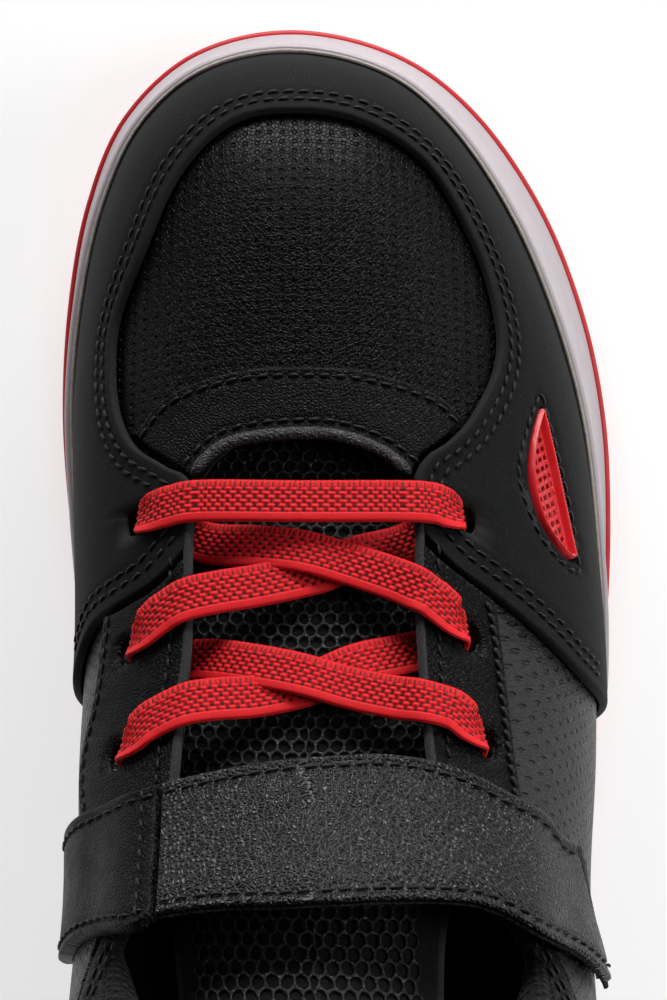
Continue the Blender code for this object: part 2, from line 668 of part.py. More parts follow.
def make_heel():
    top = line((34.5, -62, 42), (33.4, -76, 60), (26.5, -94, 72), (14, -105, 76), (0.4, -109, 77), (-13.4, -105, 76), (-26.0, -94, 72), (-33.0, -76, 60), (-34.0, -62, 42))
    foot = foot_line(12.1, LOOP - 12.1)
    panel("heel_overlay", patch(foot, top, size=(30, 5)), OVERLAY + 0.3, LEATHER, BLACK_NUBUCK)
    low = line((8.0, -107.5, 77.6), (0.4, -109, 78.6), (-7.2, -107.5, 77.6))
    high = line((7.0, -106.5, 113.0), (0.4, -108, 115.0), (-6.2, -106.5, 113.0))
    panel("backstay", patch(low, high, size=(6, 5)), OVERLAY - 0.2, 1.0, BLACK_LEATHER)


# ---------------------------------------------------------------------------------------------
# The tongue
# ---------------------------------------------------------------------------------------------

TONGUE_LIFT = -4.4
TONGUE_FLEX = -16.0
TONGUE_CENTRE = -4.6
TONGUE_PIVOT = (-3.2, -19.2, 96.3)


def tongue_grid(start, stop, steps):
    """Rows across the tongue, from y = start to y = stop along the form's top line."""
    rows = []
    for y in np.linspace(start, stop, steps + 1):
        half = np.interp(y, [-36, -22, -8, 20, 48, 57], [20, 21, 23, 26, 26, 23])
        centre = np.interp(y, [-38, -12, 50], [-1.5, TONGUE_CENTRE, TONGUE_CENTRE - 0.4])
        rows.append(spaced(line(*((centre + half * k, y) for k in np.linspace(-1, 1, 9))), 9))
    return np.array(rows)


def tongue_lift(depth):
    """Its sides sink behind the collar's padding."""
    def lift(points):
        back = np.clip((2.0 - points[:, 1]) / 22.0, 0, 1)
        side = np.abs(points[:, 0] - TONGUE_CENTRE) / 22.0
        return TONGUE_LIFT - depth - 5.0 * back * np.clip(side, 0, 1) ** 2
    return lift


def make_tongue():
    spans = (("lower", 56.0, TONGUE_FLEX + 0.5, 12), ("upper", TONGUE_FLEX - 0.5, -37.0, 5))
    layers = (("face", 0.0, 1.2, BLACK_MESH), ("foam", 1.7, 2.0, WHITE_FOAM), ("lining", 4.6, 0.7, BLACK_LINING))
    for part, start, stop, steps in spans:
        for layer, depth, thickness, finish in layers:
            grid = tongue_grid(start, stop, steps)
            obj = panel(f"tongue_{layer}_{part}", grid, tongue_lift(depth), thickness, finish)
            if part == "upper":
                set_pivot(obj, TONGUE_PIVOT)


# ---------------------------------------------------------------------------------------------
# The strap
# ---------------------------------------------------------------------------------------------

STRAP_TOP = 4.3
STRAP_PIVOT = (-24.6, -4.2, 86.4)
STRAP_FRONT = ((-22.0, 1.6), (-16.8, 3.0), (-9.4, 4.5), (-3.0, 5.2), (4.6, 5.6), (10.7, 4.8), (16.1, 3.0), (21.3, 0.1), (25.8, -2.4), (30.2, -4.8, 72), (32.4, -6.8, 66.5))
STRAP_REAR = ((-22.0, -14.4), (-15.9, -13.3), (-4.4, -12.6), (6.6, -12.4), (15.7, -13.1), (19.8, -14.6), (24.6, -17.4), (28.6, -20.4, 79.5), (31.6, -23.8, 73.5), (33.6, -26.6, 67))


def make_strap():
    front = line(*STRAP_FRONT)
    rear = line(*STRAP_REAR)
    grid = patch(rear, front, size=(26, 4))
    outer = panel("strap_outer", grid, STRAP_TOP, LEATHER, BLACK_LEATHER)
    backing = panel("strap_backing", grid, STRAP_TOP - LEATHER - GAP, 0.6, BLACK_LINING)
    tape_rear = line((30.2, -20.6, 76.5), (32.8, -23.6, 70))
    tape_front = line((28.4, -5.6, 73.5), (31.6, -8.0, 68.5))
    tape = panel("hook_tape", patch(tape_rear, tape_front, size=(3, 4)), 1.85, 0.5, HOOK_TAPE)
    patch_rear = line((29.6, -19.6, 77.5), (34.0, -25.6, 64))
    patch_front = line((27.2, -5.4, 75.5), (33.4, -9.0, 62))
    panel("loop_patch", patch(patch_rear, patch_front, size=(4, 4)), 1.0, 0.6, HOOK_TAPE)
    low = line((-23.0, -14.7), (-25.6, -16.2), (-29.5, -18.8, 79), (-33.0, -22.0, 70), (-34.0, -24.0, 60))
    high = line((-23.0, 1.3), (-28.2, -0.2), (-32.0, -3.0, 67), (-34.4, -6.5, 58))
    panel("strap_anchor", patch(low, high, size=(7, 4)), STRAP_TOP, 2.4, BLACK_LEATHER)
    for moving in (outer, backing, tape):
        set_pivot(moving, STRAP_PIVOT)


# ---------------------------------------------------------------------------------------------
# The elastic lace
# ---------------------------------------------------------------------------------------------

LACE_WIDTH = 6.2
LACE_THICKNESS = 1.0
BUNCHED = (3.2, 1.3)
OVER = 2.5
BELOW = -3.25


def through(eyelet, side, downwards=True):
    """A hairpin through an eyelet: (x, y, lift, bunched) from above to below, or the other way."""
    x, y = eyelet
    places = [(2.6, OVER, 0.3), (0.7, OVER - 0.1, 1), (0.0, 1.3, 1), (0.0, -1.7, 1), (0.7, BELOW + 0.1, 1), (2.6, BELOW, 0.3)]
    hairpin = [(x - side * back, y, lift, bunch) for back, lift, bunch in places]
    return hairpin if downwards else hairpin[::-1]


def lace_route():
    inner, outer = INNER_EYELETS, OUTER_EYELETS
    route = [(-23.4, 4.0, BELOW, 0.0)]
    route += through(inner[2], -1, downwards=False)
    route += [(-24.0, 9.4, OVER, 0), (-20.2, 12.4, 2.3, 0), (-16.5, 13.8, 0.9, 0), (-10.7, 15.4, -1.6, 0), (-3.8, 17.4, -2.7, 0)]
    route += [(3.0, 20.0, -2.9, 0), (9.4, 21.2, BELOW, 0)]
    route += through(outer[1], 1, downwards=False)
    route += [(14.6, 25.4, OVER, 0), (10.9, 28.4, 2.4, 0), (7.6, 30.5, 0.9, 0), (1.7, 32.9, -0.9, 0)]
    route += [(-5.3, 34.8, -1.0, 0), (-12.2, 35.8, -2.1, 0), (-19.2, 36.4, BELOW, 0)]
    route += through(inner[0], -1, downwards=False)
    route += [(-24.6, 39.8, OVER, 0), (-19.2, 40.9, 2.3, 0), (-5.3, 40.8, 1.6, 0), (8.7, 40.4, 2.3, 0)]
    route += [(13.6, 39.4, OVER, 0)]
    route += through(outer[0], 1)
    route += [(10.1, 36.2, BELOW, 0), (3.1, 34.5, -2.8, 0), (-2.5, 32.4, -2.6, 0), (-10.5, 30.2, -1.2, 0)]
    route += [(-16.6, 28.6, 1.0, 0), (-20.4, 27.4, 2.4, 0), (-24.6, 24.6, OVER, 0)]
    route += through(inner[1], -1)
    route += [(-19.0, 20.6, BELOW, 0), (-12.1, 19.5, -1.6, 0), (-5.2, 18.1, -0.9, 0), (1.7, 16.2, -0.8, 0)]
    route += [(7.4, 14.3, 0.7, 0), (11.0, 13.0, 2.4, 0), (15.6, 10.4, OVER, 0)]
    route += through(outer[2], 1)
    route += [(13.6, 6.0, BELOW, 0)]
    return np.array(route, float)


def make_lace():
    """One flat elastic ribbon, bunched where it folds through an eyelet."""
    route = lace_route()
    s, t = locate(line(*((x, y) for x, y in route[:, :2])))
    normals = form_normal(s, t)
    middle = form(s, t) + route[:, 2:3] * normals
    count = len(middle)
    travel = unit(np.gradient(middle, axis=0))
    ahead = unit(FORWARD - (normals @ FORWARD)[:, None] * normals)
    wide = unit(ahead - (ahead * travel).sum(1)[:, None] * travel)
    thick = np.cross(travel, wide)
    bunch = route[:, 3:4]
    half_width = (LACE_WIDTH * (1 - bunch) + BUNCHED[0] * bunch) / 2
    half_thick = (LACE_THICKNESS * (1 - bunch) + BUNCHED[1] * bunch) / 2
    bm = bmesh.new()
    rows = []
    for k in range(count):
        corners = []
        for a, b in ((-1, -1), (1, -1), (1, 1), (-1, 1)):
            corners.append(middle[k] + a * half_width[k] * wide[k] + b * half_thick[k] * thick[k])
        rows.append([bm.verts.new(Vector(corner) * MM) for corner in corners])
    for first, second in zip(rows, rows[1:]):
        for k in range(4):
            bm.faces.new((first[k], first[(k + 1) % 4], second[(k + 1) % 4], second[k]))
    bm.faces.new(rows[0][::-1])
    bm.faces.new(rows[-1])
    bmesh.ops.recalc_face_normals(bm, faces=bm.faces[:])
    from_bmesh("elastic_lace", bm, RED_ELASTIC)


def make_eyelet_cutters():
    """An upright oval punch for each eyelet."""
    places = [(place, -1) for place in INNER_EYELETS] + [(place, 1) for place in OUTER_EYELETS]
    for number, (place, side) in enumerate(places):
        s, t = locate(line(place))
        centre = form(s, t)[0]
        normal = form_normal(s, t)[0]
        ahead = unit(FORWARD - (FORWARD @ normal) * normal)
        bm = bmesh.new()
        bmesh.ops.create_cone(bm, cap_ends=True, segments=10, radius1=1.0, radius2=1.0, depth=1.0)
        bmesh.ops.scale(bm, vec=Vector((1.8, 2.5, 9.0)) * MM, verts=bm.verts[:])
        punch = from_bmesh(f"eyelet_punch_{number}", bm, collection=EYELET_CUTTERS)
        turn = Matrix([np.cross(ahead, normal), ahead, normal]).transposed().to_4x4()
        punch.matrix_world = Matrix.Translation((centre - [side * 0.3, 0, 0]) * MM) @ turn


def main():
    make_eyelet_cutters()
    make_outsole()
    make_cupsole()
    make_sole_filling()
    make_toe_box()
    make_toe_overlay()
    make_vamp_tip()
    make_vent()
    make_eyestays()
    make_quarters()
    make_collar()
    make_collar_foam()
    make_linings()
    make_heel_counter()
    make_heel()
    make_tongue()
    make_strap()
    make_lace()


main()
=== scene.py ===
"""A child's right basketball high top, seen from above, on a pale floor.

The upper is built as it is made: patterned pieces laid over one form, stitched along offset lines.
Lengths are in millimetres and become metres where a mesh is made. +Y is the toe, +X the outer side.
"""

import bpy
import numpy as np
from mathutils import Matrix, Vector
from mathutils.kdtree import KDTree


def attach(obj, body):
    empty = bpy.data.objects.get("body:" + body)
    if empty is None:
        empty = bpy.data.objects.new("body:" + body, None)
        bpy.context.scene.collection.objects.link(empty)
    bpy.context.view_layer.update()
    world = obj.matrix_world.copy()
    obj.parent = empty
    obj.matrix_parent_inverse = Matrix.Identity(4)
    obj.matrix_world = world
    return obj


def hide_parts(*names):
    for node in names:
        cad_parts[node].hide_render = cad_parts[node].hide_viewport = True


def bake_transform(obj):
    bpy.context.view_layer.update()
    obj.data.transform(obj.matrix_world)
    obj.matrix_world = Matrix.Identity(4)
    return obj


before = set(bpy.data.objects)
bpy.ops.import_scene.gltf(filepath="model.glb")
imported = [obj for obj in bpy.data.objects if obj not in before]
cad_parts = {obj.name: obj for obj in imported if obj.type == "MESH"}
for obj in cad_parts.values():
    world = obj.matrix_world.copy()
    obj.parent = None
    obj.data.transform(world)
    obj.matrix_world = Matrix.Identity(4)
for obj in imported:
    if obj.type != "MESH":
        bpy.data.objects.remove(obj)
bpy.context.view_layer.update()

MM = 0.001
UP = np.array([0.0, 0.0, 1.0])
FORWARD = np.array([0.0, 1.0, 0.0])

# ---------------------------------------------------------------------------------------------
# The form, as in the CAD model
# ---------------------------------------------------------------------------------------------

# Each row, from toe to heel: the sole's edge on the outer and inner side (x, y), the top line
# (centre x, half width, y, z), and the wall's fullness (foot out and up, head out and down).
STATIONS = (
    ((-7.0, 115.9), (-7.0, 115.9), (-5.5, 0, 74.0, 54.8), (2, 17, 18, -3.4)),
    ((9.5, 112.3), (-22.7, 112.5), (-5.5, 0, 73.0, 55.0), (2, 17, 19, -3.2)),
    ((22.3, 103.1), (-34.1, 102.6), (-5.4, 0, 70.0, 55.5), (2, 17, 20, -2.6)),
    ((33.0, 88.2), (-40.2, 89.1), (-5.2, 0, 65.0, 56.5), (2, 18, 20, -1.4)),
    ((39.9, 71.3), (-43.3, 73.6), (-5.0, 0, 57.5, 58.2), (2, 20, 21, -0.6)),
    ((43.4, 54.5), (-44.4, 56.5), (-4.8, 0, 48.0, 60.8), (3, 23, 23, 0)),
    ((44.2, 37.6), (-43.4, 40.0), (-4.6, 0, 36.0, 65.2), (4, 28, 25, 0)),
    ((43.5, 20.7), (-41.0, 22.0), (-4.5, 0, 21.0, 71.5), (6, 33, 27, 0)),
    ((41.3, 4.0), (-37.8, 4.0), (-4.5, 0, 5.0, 80.5), (8, 40, 28, 0)),
    ((38.3, -14.0), (-35.0, -14.0), (-3.5, 0, -11.0, 94.0), (10, 47, 29, 0)),
    ((36.2, -31.0), (-33.4, -31.0), (-2.0, 0, -25.0, 109.5), (12, 60, 33, 0)),
    ((35.0, -45.0), (-32.6, -45.0), (-1.0, 0, -38.0, 127.0), (12, 66, 35, 0)),
    ((34.3, -58.0), (-32.2, -58.0), (0, 31.0, -50.0, 129.0), (11, 50, 4, -38)),
    ((33.4, -74.0), (-32.0, -74.0), (0, 32.0, -68.0, 126.0), (9, 42, 1, -36)),
    ((31.8, -90.0), (-31.3, -90.0), (0, 28.0, -90.0, 123.0), (7, 34, -2, -36)),
    ((24.0, -107.5), (-24.2, -107.5), (0, 17.0, -104.5, 121.5), (6, 28, -7, -33)),
    ((0.4, -116.2), (0.4, -116.2), (0.4, 0, -109.0, 121.0), (6, 26, -10, -30)),
)
HEEL = len(STATIONS) - 1
LOOP = 2 * HEEL
STEP = 1e-3


def loop(pick):
    outer = [pick(station, 1) for station in STATIONS]
    inner = [pick(station, -1) for station in STATIONS[1:-1]]
    return np.array(outer + inner[::-1], float)


def along(values, place, closed=True):
    """A smooth curve through the rows of values, read at the given places along them."""
    place = np.asarray(place, float)
    count = len(values)
    first = np.floor(place).astype(int)
    if not closed:
        first = np.clip(first, 0, count - 2)
    part = (place - first)[..., None]
    if closed:
        p = [values[(first + k) % count] for k in (-1, 0, 1, 2)]
    else:
        before = 2 * values[0] - values[1]
        after = 2 * values[-1] - values[-2]
        longer = np.vstack([before, values, after])
        p = [longer[first + k] for k in (0, 1, 2, 3)]
    return 0.5 * (
        2 * p[1]
        + (p[2] - p[0]) * part
        + (2 * p[0] - 5 * p[1] + 4 * p[2] - p[3]) * part**2
        + (3 * p[1] - p[0] - 3 * p[2] + p[3]) * part**3
    )


def unit(vectors):
    return vectors / np.maximum(np.linalg.norm(vectors, axis=-1, keepdims=True), 1e-12)


def ease(value, low, high):
    part = np.clip((value - low) / (high - low), 0, 1)
    return part * part * (3 - 2 * part)


EDGE = loop(lambda station, side: (*station[0 if side > 0 else 1], 0.0))
TOP = loop(lambda station, side: (station[2][0] + side * station[2][1], *station[2][2:]))
FULLNESS = loop(lambda station, side: station[3])
AHEAD = along(EDGE, np.arange(LOOP) + STEP) - along(EDGE, np.arange(LOOP) - STEP)
OUTWARD = unit(np.stack([-AHEAD[:, 1], AHEAD[:, 0], 0 * AHEAD[:, 0]], axis=1))


def wall_inset(points):
    """How far the form's foot stands in from the sole's edge, which is more on the outer forefoot."""
    inset = np.interp(points[:, 1], [-116, -60, -20, 5, 30, 80, 116], [5.7, 4.8, 4.2, 4.6, 6.1, 6.6, 8.2])
    outer = np.interp(points[:, 1], [0, 20, 45, 65, 90, 112], [0, 0.4, 1.4, 2.5, 2.3, 0.6])
    return inset + outer * np.clip(points[:, 0] / 20, 0, 1)


def feather_height(y):
    return np.interp(y, [-116, -60, 0, 60, 90, 116], [25, 22, 21.5, 21.5, 23, 25])


def inner_bulge(points):
    """How much fuller the inner side is, behind the toe overlay."""
    places = [-116, -90, -60, -25, -5, 8, 14, 24]
    bulge = np.interp(points[:, 1], places, [0, 1.0, 2.5, 3.4, 2.8, 2.2, 1.5, 0])
    return bulge * (points[:, 0] < 0)


def form_controls():
    foot = EDGE - wall_inset(EDGE)[:, None] * OUTWARD
    foot[:, 2] = feather_height(foot[:, 1])
    more = inner_bulge(EDGE)[:, None] * OUTWARD
    low = foot + FULLNESS[:, 0:1] * OUTWARD + FULLNESS[:, 1:2] * UP + more
    high = TOP + FULLNESS[:, 2:3] * OUTWARD + FULLNESS[:, 3:4] * UP + more
    return foot, low, high, TOP + 0.5 * more * (EDGE[:, 1:2] < -50)


CONTROLS = form_controls()


def form(s, t):
    """The form's surface: s counts stations round the shoe, and t goes from wall foot to top line."""
    s, t = np.broadcast_arrays(np.asarray(s, float), np.asarray(t, float))
    foot, low, high, top = (along(rows, s) for rows in CONTROLS)
    t = t[..., None]
    return foot * (1 - t) ** 3 + 3 * low * t * (1 - t) ** 2 + 3 * high * t**2 * (1 - t) + top * t**3


def form_normal(s, t):
    t = np.minimum(t, 0.999 - STEP)
    round_it = form(s + STEP, t) - form(s - STEP, t)
    up_it = form(s, t + STEP) - form(s, t - STEP)
    return unit(np.cross(up_it, round_it))


GRID_S, GRID_T = np.meshgrid(np.arange(0, LOOP, 0.25), np.linspace(0, 1, 33), indexing="ij")
GRID = form(GRID_S, GRID_T).reshape(-1, 3)


def tree_of(points):
    tree = KDTree(len(points))
    for index, point in enumerate(points):
        tree.insert(point, index)
    tree.balance()
    return tree


GRID_TREE = tree_of(GRID)


def refine(points, s, t, axes):
    """Walks each (s, t) until the form's point there is nearest the given one along these axes."""
    for _ in range(8):
        here = form(s, t)
        off = (points - here)[:, axes]
        by_s = ((form(s + STEP, t) - here) / STEP)[:, axes]
        by_t = ((form(s, t - STEP) - here) / -STEP)[:, axes]
        ss = (by_s * by_s).sum(1) + 1e-6
        tt = (by_t * by_t).sum(1) + 1e-6
        st = (by_s * by_t).sum(1)
        rs = (by_s * off).sum(1)
        rt = (by_t * off).sum(1)
        det = ss * tt - st * st + 1e-9
        s = s + np.clip((tt * rs - st * rt) / det, -0.4, 0.4)
        t = np.clip(t + np.clip((ss * rt - st * rs) / det, -0.1, 0.1), -0.1, 1.0)
    return s, t, np.linalg.norm((points - form(s, t))[:, axes], axis=1)


def locate(points, axes=(0, 1, 2)):
    """The (s, t) of the form's points nearest to these."""
    axes = list(axes)
    points = np.asarray(points, float)
    if len(axes) == 3:
        nearest = np.array([GRID_TREE.find(point)[1] for point in points])
    else:
        chunks = np.array_split(points, max(1, len(points) // 400))
        found = []
        for chunk in chunks:
            gaps = np.linalg.norm(chunk[:, None, axes] - GRID[None, :, axes], axis=2)
            found.append((gaps - 0.02 * GRID[None, :, 2]).argmin(1))
        nearest = np.concatenate(found)
    s = GRID_S.reshape(-1)[nearest]
    t = GRID_T.reshape(-1)[nearest]
    best = refine(points, s, t, axes)
    other = refine(points, (LOOP - s) % LOOP, t, axes)
    swap = (t > 0.85) & (other[2] < best[2] - 1e-6)
    return np.where(swap, other[0], best[0]), np.where(swap, other[1], best[1])


def line(*places):
    """A pattern line: (x, y) is a place on the form seen from above, (x, y, z) one beside its wall."""
    points = np.array([(*place, 0.0)[:3] for place in places], float)
    from_above = np.array([len(place) == 2 for place in places])
    if from_above.any():
        points[from_above] = form(*locate(points[from_above], (0, 1)))
    return points


def foot_line(start, stop, t=0.0, count=24):
    s = np.linspace(start, stop, count)
    return form(s, np.full(count, t))


def fine_curve(points):
    fine = along(points, np.linspace(0, len(points) - 1, 12 * len(points)), closed=False)
    return fine, np.concatenate([[0], np.cumsum(np.linalg.norm(np.diff(fine, axis=0), axis=1))])


def read_at(points, marks):
    """The smooth curve through the points, read at these shares of its length."""
    fine, walked = fine_curve(points)
    wanted = np.asarray(marks) * walked[-1]
    return np.stack([np.interp(wanted, walked, fine[:, k]) for k in range(3)], axis=1)


def spaced(points, count):
    return read_at(points, np.linspace(0, 1, count))


def length_of(points):
    return fine_curve(points)[1][-1]


def marks(length, step, fine=(0.2, 0.5, 0.9)):
    """Shares of a length, every step or so, and closer at its ends for a rolled edge."""
    fine = [share for share in fine if share < length / 6]
    last = fine[-1] if fine else 0.0
    count = max(2, round((length - 2 * last) / step))
    inner = np.linspace(last, length - last, count + 1)
    ends = [length - share for share in fine[-2::-1]]
    every = [[0.0], fine[:-1], inner, ends, [length]] if fine else [inner]
    return np.concatenate(every) / length


def patch(low, high, start=None, stop=None, step=0.9, across=None, fade=6):
    """A grid of points between four pattern lines: low and high run the same way."""
    u = marks((length_of(low) + length_of(high)) / 2, step)
    low = read_at(low, u)
    high = read_at(high, u)
    v = marks(np.median(np.linalg.norm(high - low, axis=1)), across or step)
    ends = []
    for end, index in ((start, 0), (stop, -1)):
        middle = [] if end is None else list(end)
        ends.append(read_at(np.array([low[index], *middle, high[index]]), v))
    u = u[:, None, None]
    v = v[None, :, None]
    ruled = (1 - v) * low[:, None] + v * high[:, None]
    bends = [end - straight for end, straight in zip(ends, (ruled[0], ruled[-1]))]
    return ruled + (1 - u) ** fade * bends[0] + u**fade * bends[1]


def across(places):
    """The same places on the inner side of the foot."""
    return tuple((-place[0] + (0.8 if place[1] < -20 else -0.6), *place[1:]) for place in places)


def raised(places, lift):
    return tuple((x, y, z + lift) for x, y, z in places)


def offset_line(points, inset, count=None):
    """The pattern line moved sideways over the form: to its left, seen from outside the shoe."""
    points = spaced(points, count or max(8, int(length_of(points) / 1.5)))
    s, t = locate(points)
    ahead = unit(np.gradient(points, axis=0))
    moved = points + inset * np.cross(form_normal(s, t), ahead)
    s, t = locate(moved)
    moved = form(s, t)
    kept = [moved[0]]
    for before, point, old in zip(points, moved[1:], points[1:]):
        if (point - kept[-1]) @ (old - before) > 0:
            kept.append(point)
    return np.array(kept)


# ---------------------------------------------------------------------------------------------
# Materials
# ---------------------------------------------------------------------------------------------


class Shader:
    """A procedural material: colour, height and roughness fields built from a few node helpers."""

    def __init__(self, name, colour, roughness, **sockets):
        self.material = bpy.data.materials.new(name)
        self.material.use_nodes = True
        self.nodes = self.material.node_tree.nodes
        self.links = self.material.node_tree.links
        self.surface = self.nodes["Principled BSDF"]
        self.surface.inputs["Base Color"].default_value = (*colour, 1)
        self.surface.inputs["Roughness"].default_value = roughness
        for socket, value in sockets.items():
            self.surface.inputs[socket.replace("_", " ")].default_value = value
        self.colour = colour
        self.normal = None
        self.coordinates = self.nodes.new("ShaderNodeTexCoord")

    def node(self, kind, inputs=None, **settings):
        node = self.nodes.new("ShaderNode" + kind)
        for key, value in settings.items():
            setattr(node, key, value)
        for key, value in (inputs or {}).items():
            socket = node.inputs[key]
            if isinstance(value, bpy.types.NodeSocket):
                self.links.new(value, socket)
            else:
                socket.default_value = value
        return node

    def math(self, operation, first, second=0.0, third=0.0):
        inputs = {0: first, 1: second, 2: third}
        return self.node("Math", inputs, operation=operation).outputs[0]

    def smooth(self, value, low, high, to_low=0.0, to_high=1.0):
        inputs = {"Value": value, "From Min": low, "From Max": high, "To Min": to_low, "To Max": to_high}
        made = self.node("MapRange", inputs, interpolation_type="SMOOTHSTEP")
        return made.outputs[0]

    def noise(self, size, detail=2.0, roughness=0.5, place=None):
        inputs = {"Vector": place or self.coordinates.outputs["Object"], "Scale": 1 / (size * MM)}
        inputs.update({"Detail": detail, "Roughness": roughness})
        return self.node("TexNoise", inputs).outputs["Fac"]

    def cells(self, size, feature="F1", place=None, jitter=1.0):
        inputs = {"Vector": place or self.coordinates.outputs["Object"], "Scale": 1 / (size * MM)}
        inputs["Randomness"] = jitter
        return self.node("TexVoronoi", inputs, feature=feature).outputs["Distance"]

    def wobble(self, size, amount, place="Object", dimensions="3D"):
        """Coordinates bent by noise, so that a pattern on them isn't regular."""
        place = self.coordinates.outputs[place]
        inputs = {"Vector": place, "Scale": 1 / size, "Detail": 1.0}
        bend = self.node("TexNoise", inputs, noise_dimensions=dimensions).outputs["Color"]
        bend = self.node("VectorMath", {0: bend, 1: (0.5, 0.5, 0.5)}, operation="SUBTRACT").outputs[0]
        bend = self.node("VectorMath", {0: bend, "Scale": amount}, operation="SCALE").outputs[0]
        return self.node("VectorMath", {0: place, 1: bend}, operation="ADD").outputs[0]

    def uv(self):
        split = self.node("SeparateXYZ", {"Vector": self.coordinates.outputs["UV"]})
        return split.outputs["X"], split.outputs["Y"]

    def field(self, name):
        return self.node("Attribute", attribute_name=name).outputs["Fac"]

    def bump(self, height, depth, strength=1.0):
        """Adds height, from 0 to 1, as a relief depth millimetres deep."""
        inputs = {"Height": height, "Distance": depth * MM, "Strength": strength}
        if self.normal is not None:
            inputs["Normal"] = self.normal
        self.normal = self.node("Bump", inputs).outputs["Normal"]
        self.links.new(self.normal, self.surface.inputs["Normal"])

    def tint(self, amount, colour):
        """Turns the colour towards another one by amount."""
        base = self.surface.inputs["Base Color"]
        mixed = self.node("Mix", {"Factor": amount}, data_type="RGBA")
        if base.is_linked:
            self.links.new(base.links[0].from_socket, mixed.inputs["A"])
        else:
            mixed.inputs["A"].default_value = base.default_value
        mixed.inputs["B"].default_value = (*colour, 1)
        self.links.new(mixed.outputs["Result"], base)

    def gloss(self, amount, low, high):
        self.links.new(self.smooth(amount, 0, 1, low, high), self.surface.inputs["Roughness"])


def grained(name, colour, roughness, size, depth, shine=0.2, wear=(0.04, 0.037, 0.036), crown=0.22):
    """Leather with pebbles between fine creases, small pores and pale worn edges."""
    made = Shader(name, colour, roughness, Specular_IOR_Level=shine)
    place = made.wobble(size * 1.6, size * 0.8, "UV", "2D")
    settings = {"feature": "DISTANCE_TO_EDGE", "voronoi_dimensions": "2D"}
    creases = made.node("TexVoronoi", {"Vector": place, "Scale": 1 / size}, **settings)
    pebble = made.smooth(creases.outputs["Distance"], 0.0, crown)
    dome = made.noise(size * 1.1, 2.0)
    fold = made.smooth(made.noise(size * 5.0, 3.0, 0.6), 0.35, 0.65)
    made.bump(made.math("MULTIPLY_ADD", dome, 0.85, made.math("MULTIPLY_ADD", fold, 0.6, pebble)), depth)
    made.bump(made.noise(size * 0.25, 2.0), depth * 0.14)
    dull = made.math("MULTIPLY_ADD", pebble, 0.4, made.noise(size * 6))
    made.gloss(dull, roughness + 0.14, roughness - 0.08)
    # Painted shade: the creases between the pebbles are darkened.
    made.tint(made.smooth(pebble, 0.7, 0.0, 0.0, 0.6), tuple(c * 0.2 for c in colour))
    made.tint(made.math("MULTIPLY", made.field("rim"), made.smooth(made.noise(0.5, 3.0), 0.45, 0.75)), wear)
    return made


def punched(made, pitch, radius, depth=0.3):
    """A grid of small round holes, in the piece's own pattern coordinates."""
    u, v = made.uv()
    rows = [made.math("SUBTRACT", made.math("FRACT", made.math("DIVIDE", value, step)), 0.5)
            for value, step in zip((u, v), pitch)]
    away = [made.math("MULTIPLY", row, step) for row, step in zip(rows, pitch)]
    distance = made.math("POWER", away[0], 2.0)
    distance = made.math("SQRT", made.math("ADD", distance, made.math("POWER", away[1], 2.0)))
    hole = made.smooth(distance, radius * 0.8, radius * 1.6)
    made.bump(hole, depth)
    # Painted shade: each hole is darkened towards its middle.
    made.tint(made.smooth(distance, radius * 0.6, radius * 1.3, 0.9, 0.0), (0.002, 0.002, 0.002))
    return made


def black_leather():
    return grained("black_grained_leather", (0.0035, 0.0035, 0.0038), 0.46, 0.55, 0.085, 0.09, crown=0.4)


def strap_leather():
    return grained("black_pebbled_leather", (0.002, 0.002, 0.0022), 0.33, 0.68, 0.16, 0.34, crown=0.45)


def punched_leather():
    made = grained("black_perforated_leather", (0.0025, 0.0025, 0.0027), 0.36, 0.55, 0.05, 0.1)
    return punched(made, (1.8, 1.5), 0.26, 0.5)


def nubuck():
    made = Shader("black_nubuck", (0.0058, 0.0062, 0.0066), 0.7,
                  Sheen_Weight=0.025, Sheen_Roughness=0.5, Specular_IOR_Level=0.06)
    nap = made.noise(0.22, 3.0, 0.6)
    cloud = made.noise(9.0, 2.0)
    made.bump(nap, 0.05)
    made.bump(made.cells(0.5, "F1", made.wobble(1.0 * MM, 0.6 * MM)), 0.03)
    made.tint(made.smooth(nap, 0.58, 0.8, 0.0, 0.5), (0.02, 0.021, 0.022))
    made.tint(made.smooth(cloud, 0.35, 0.75, 0.0, 0.5), (0.005, 0.0053, 0.0057))
    # Pale specks: partly the nap's lighter fibre tips, partly painted glints standing in for the nap's sheen.
    made.tint(made.smooth(made.noise(0.18, 2.0), 0.66, 0.76, 0.0, 0.8), (0.11, 0.111, 0.112))
    made.tint(made.math("MULTIPLY", made.field("rim"), made.noise(0.4, 3.0)), (0.03, 0.029, 0.028))
    return made


def cut_edge():
    """The fibrous cut edge of layered leather and foam."""
    made = Shader("black_cut_edge", (0.02, 0.019, 0.02), 0.85, Sheen_Weight=0.08, Specular_IOR_Level=0.2)
    fibre = made.noise(0.25, 4.0, 0.65)
    made.bump(fibre, 0.18)
    made.tint(made.smooth(fibre, 0.45, 0.75, 0.0, 0.7), (0.07, 0.064, 0.066))
    return made


def knitted(name="black_knit", colour=(0.005, 0.005, 0.0055)):
    """A soft lining knit with small open pores."""
    made = Shader(name, colour, 0.9, Sheen_Weight=0.06, Sheen_Roughness=0.6, Specular_IOR_Level=0.15)
    place = made.wobble(3.0 * MM, 0.5 * MM)
    loops = made.cells(1.0, "F1", place, 0.25)
    made.bump(made.smooth(loops, 0.15, 0.6, 1.0, 0.0), 0.3)
    made.bump(made.noise(0.2, 3.0), 0.07)
    # Painted shade: the knit's pores are darkened.
    made.tint(made.smooth(loops, 0.0, 0.3, 0.9, 0.0), (0.002, 0.002, 0.002))
    made.tint(made.smooth(made.noise(0.6, 3.0), 0.62, 0.8, 0.0, 0.6), (0.03, 0.03, 0.031))
    return made


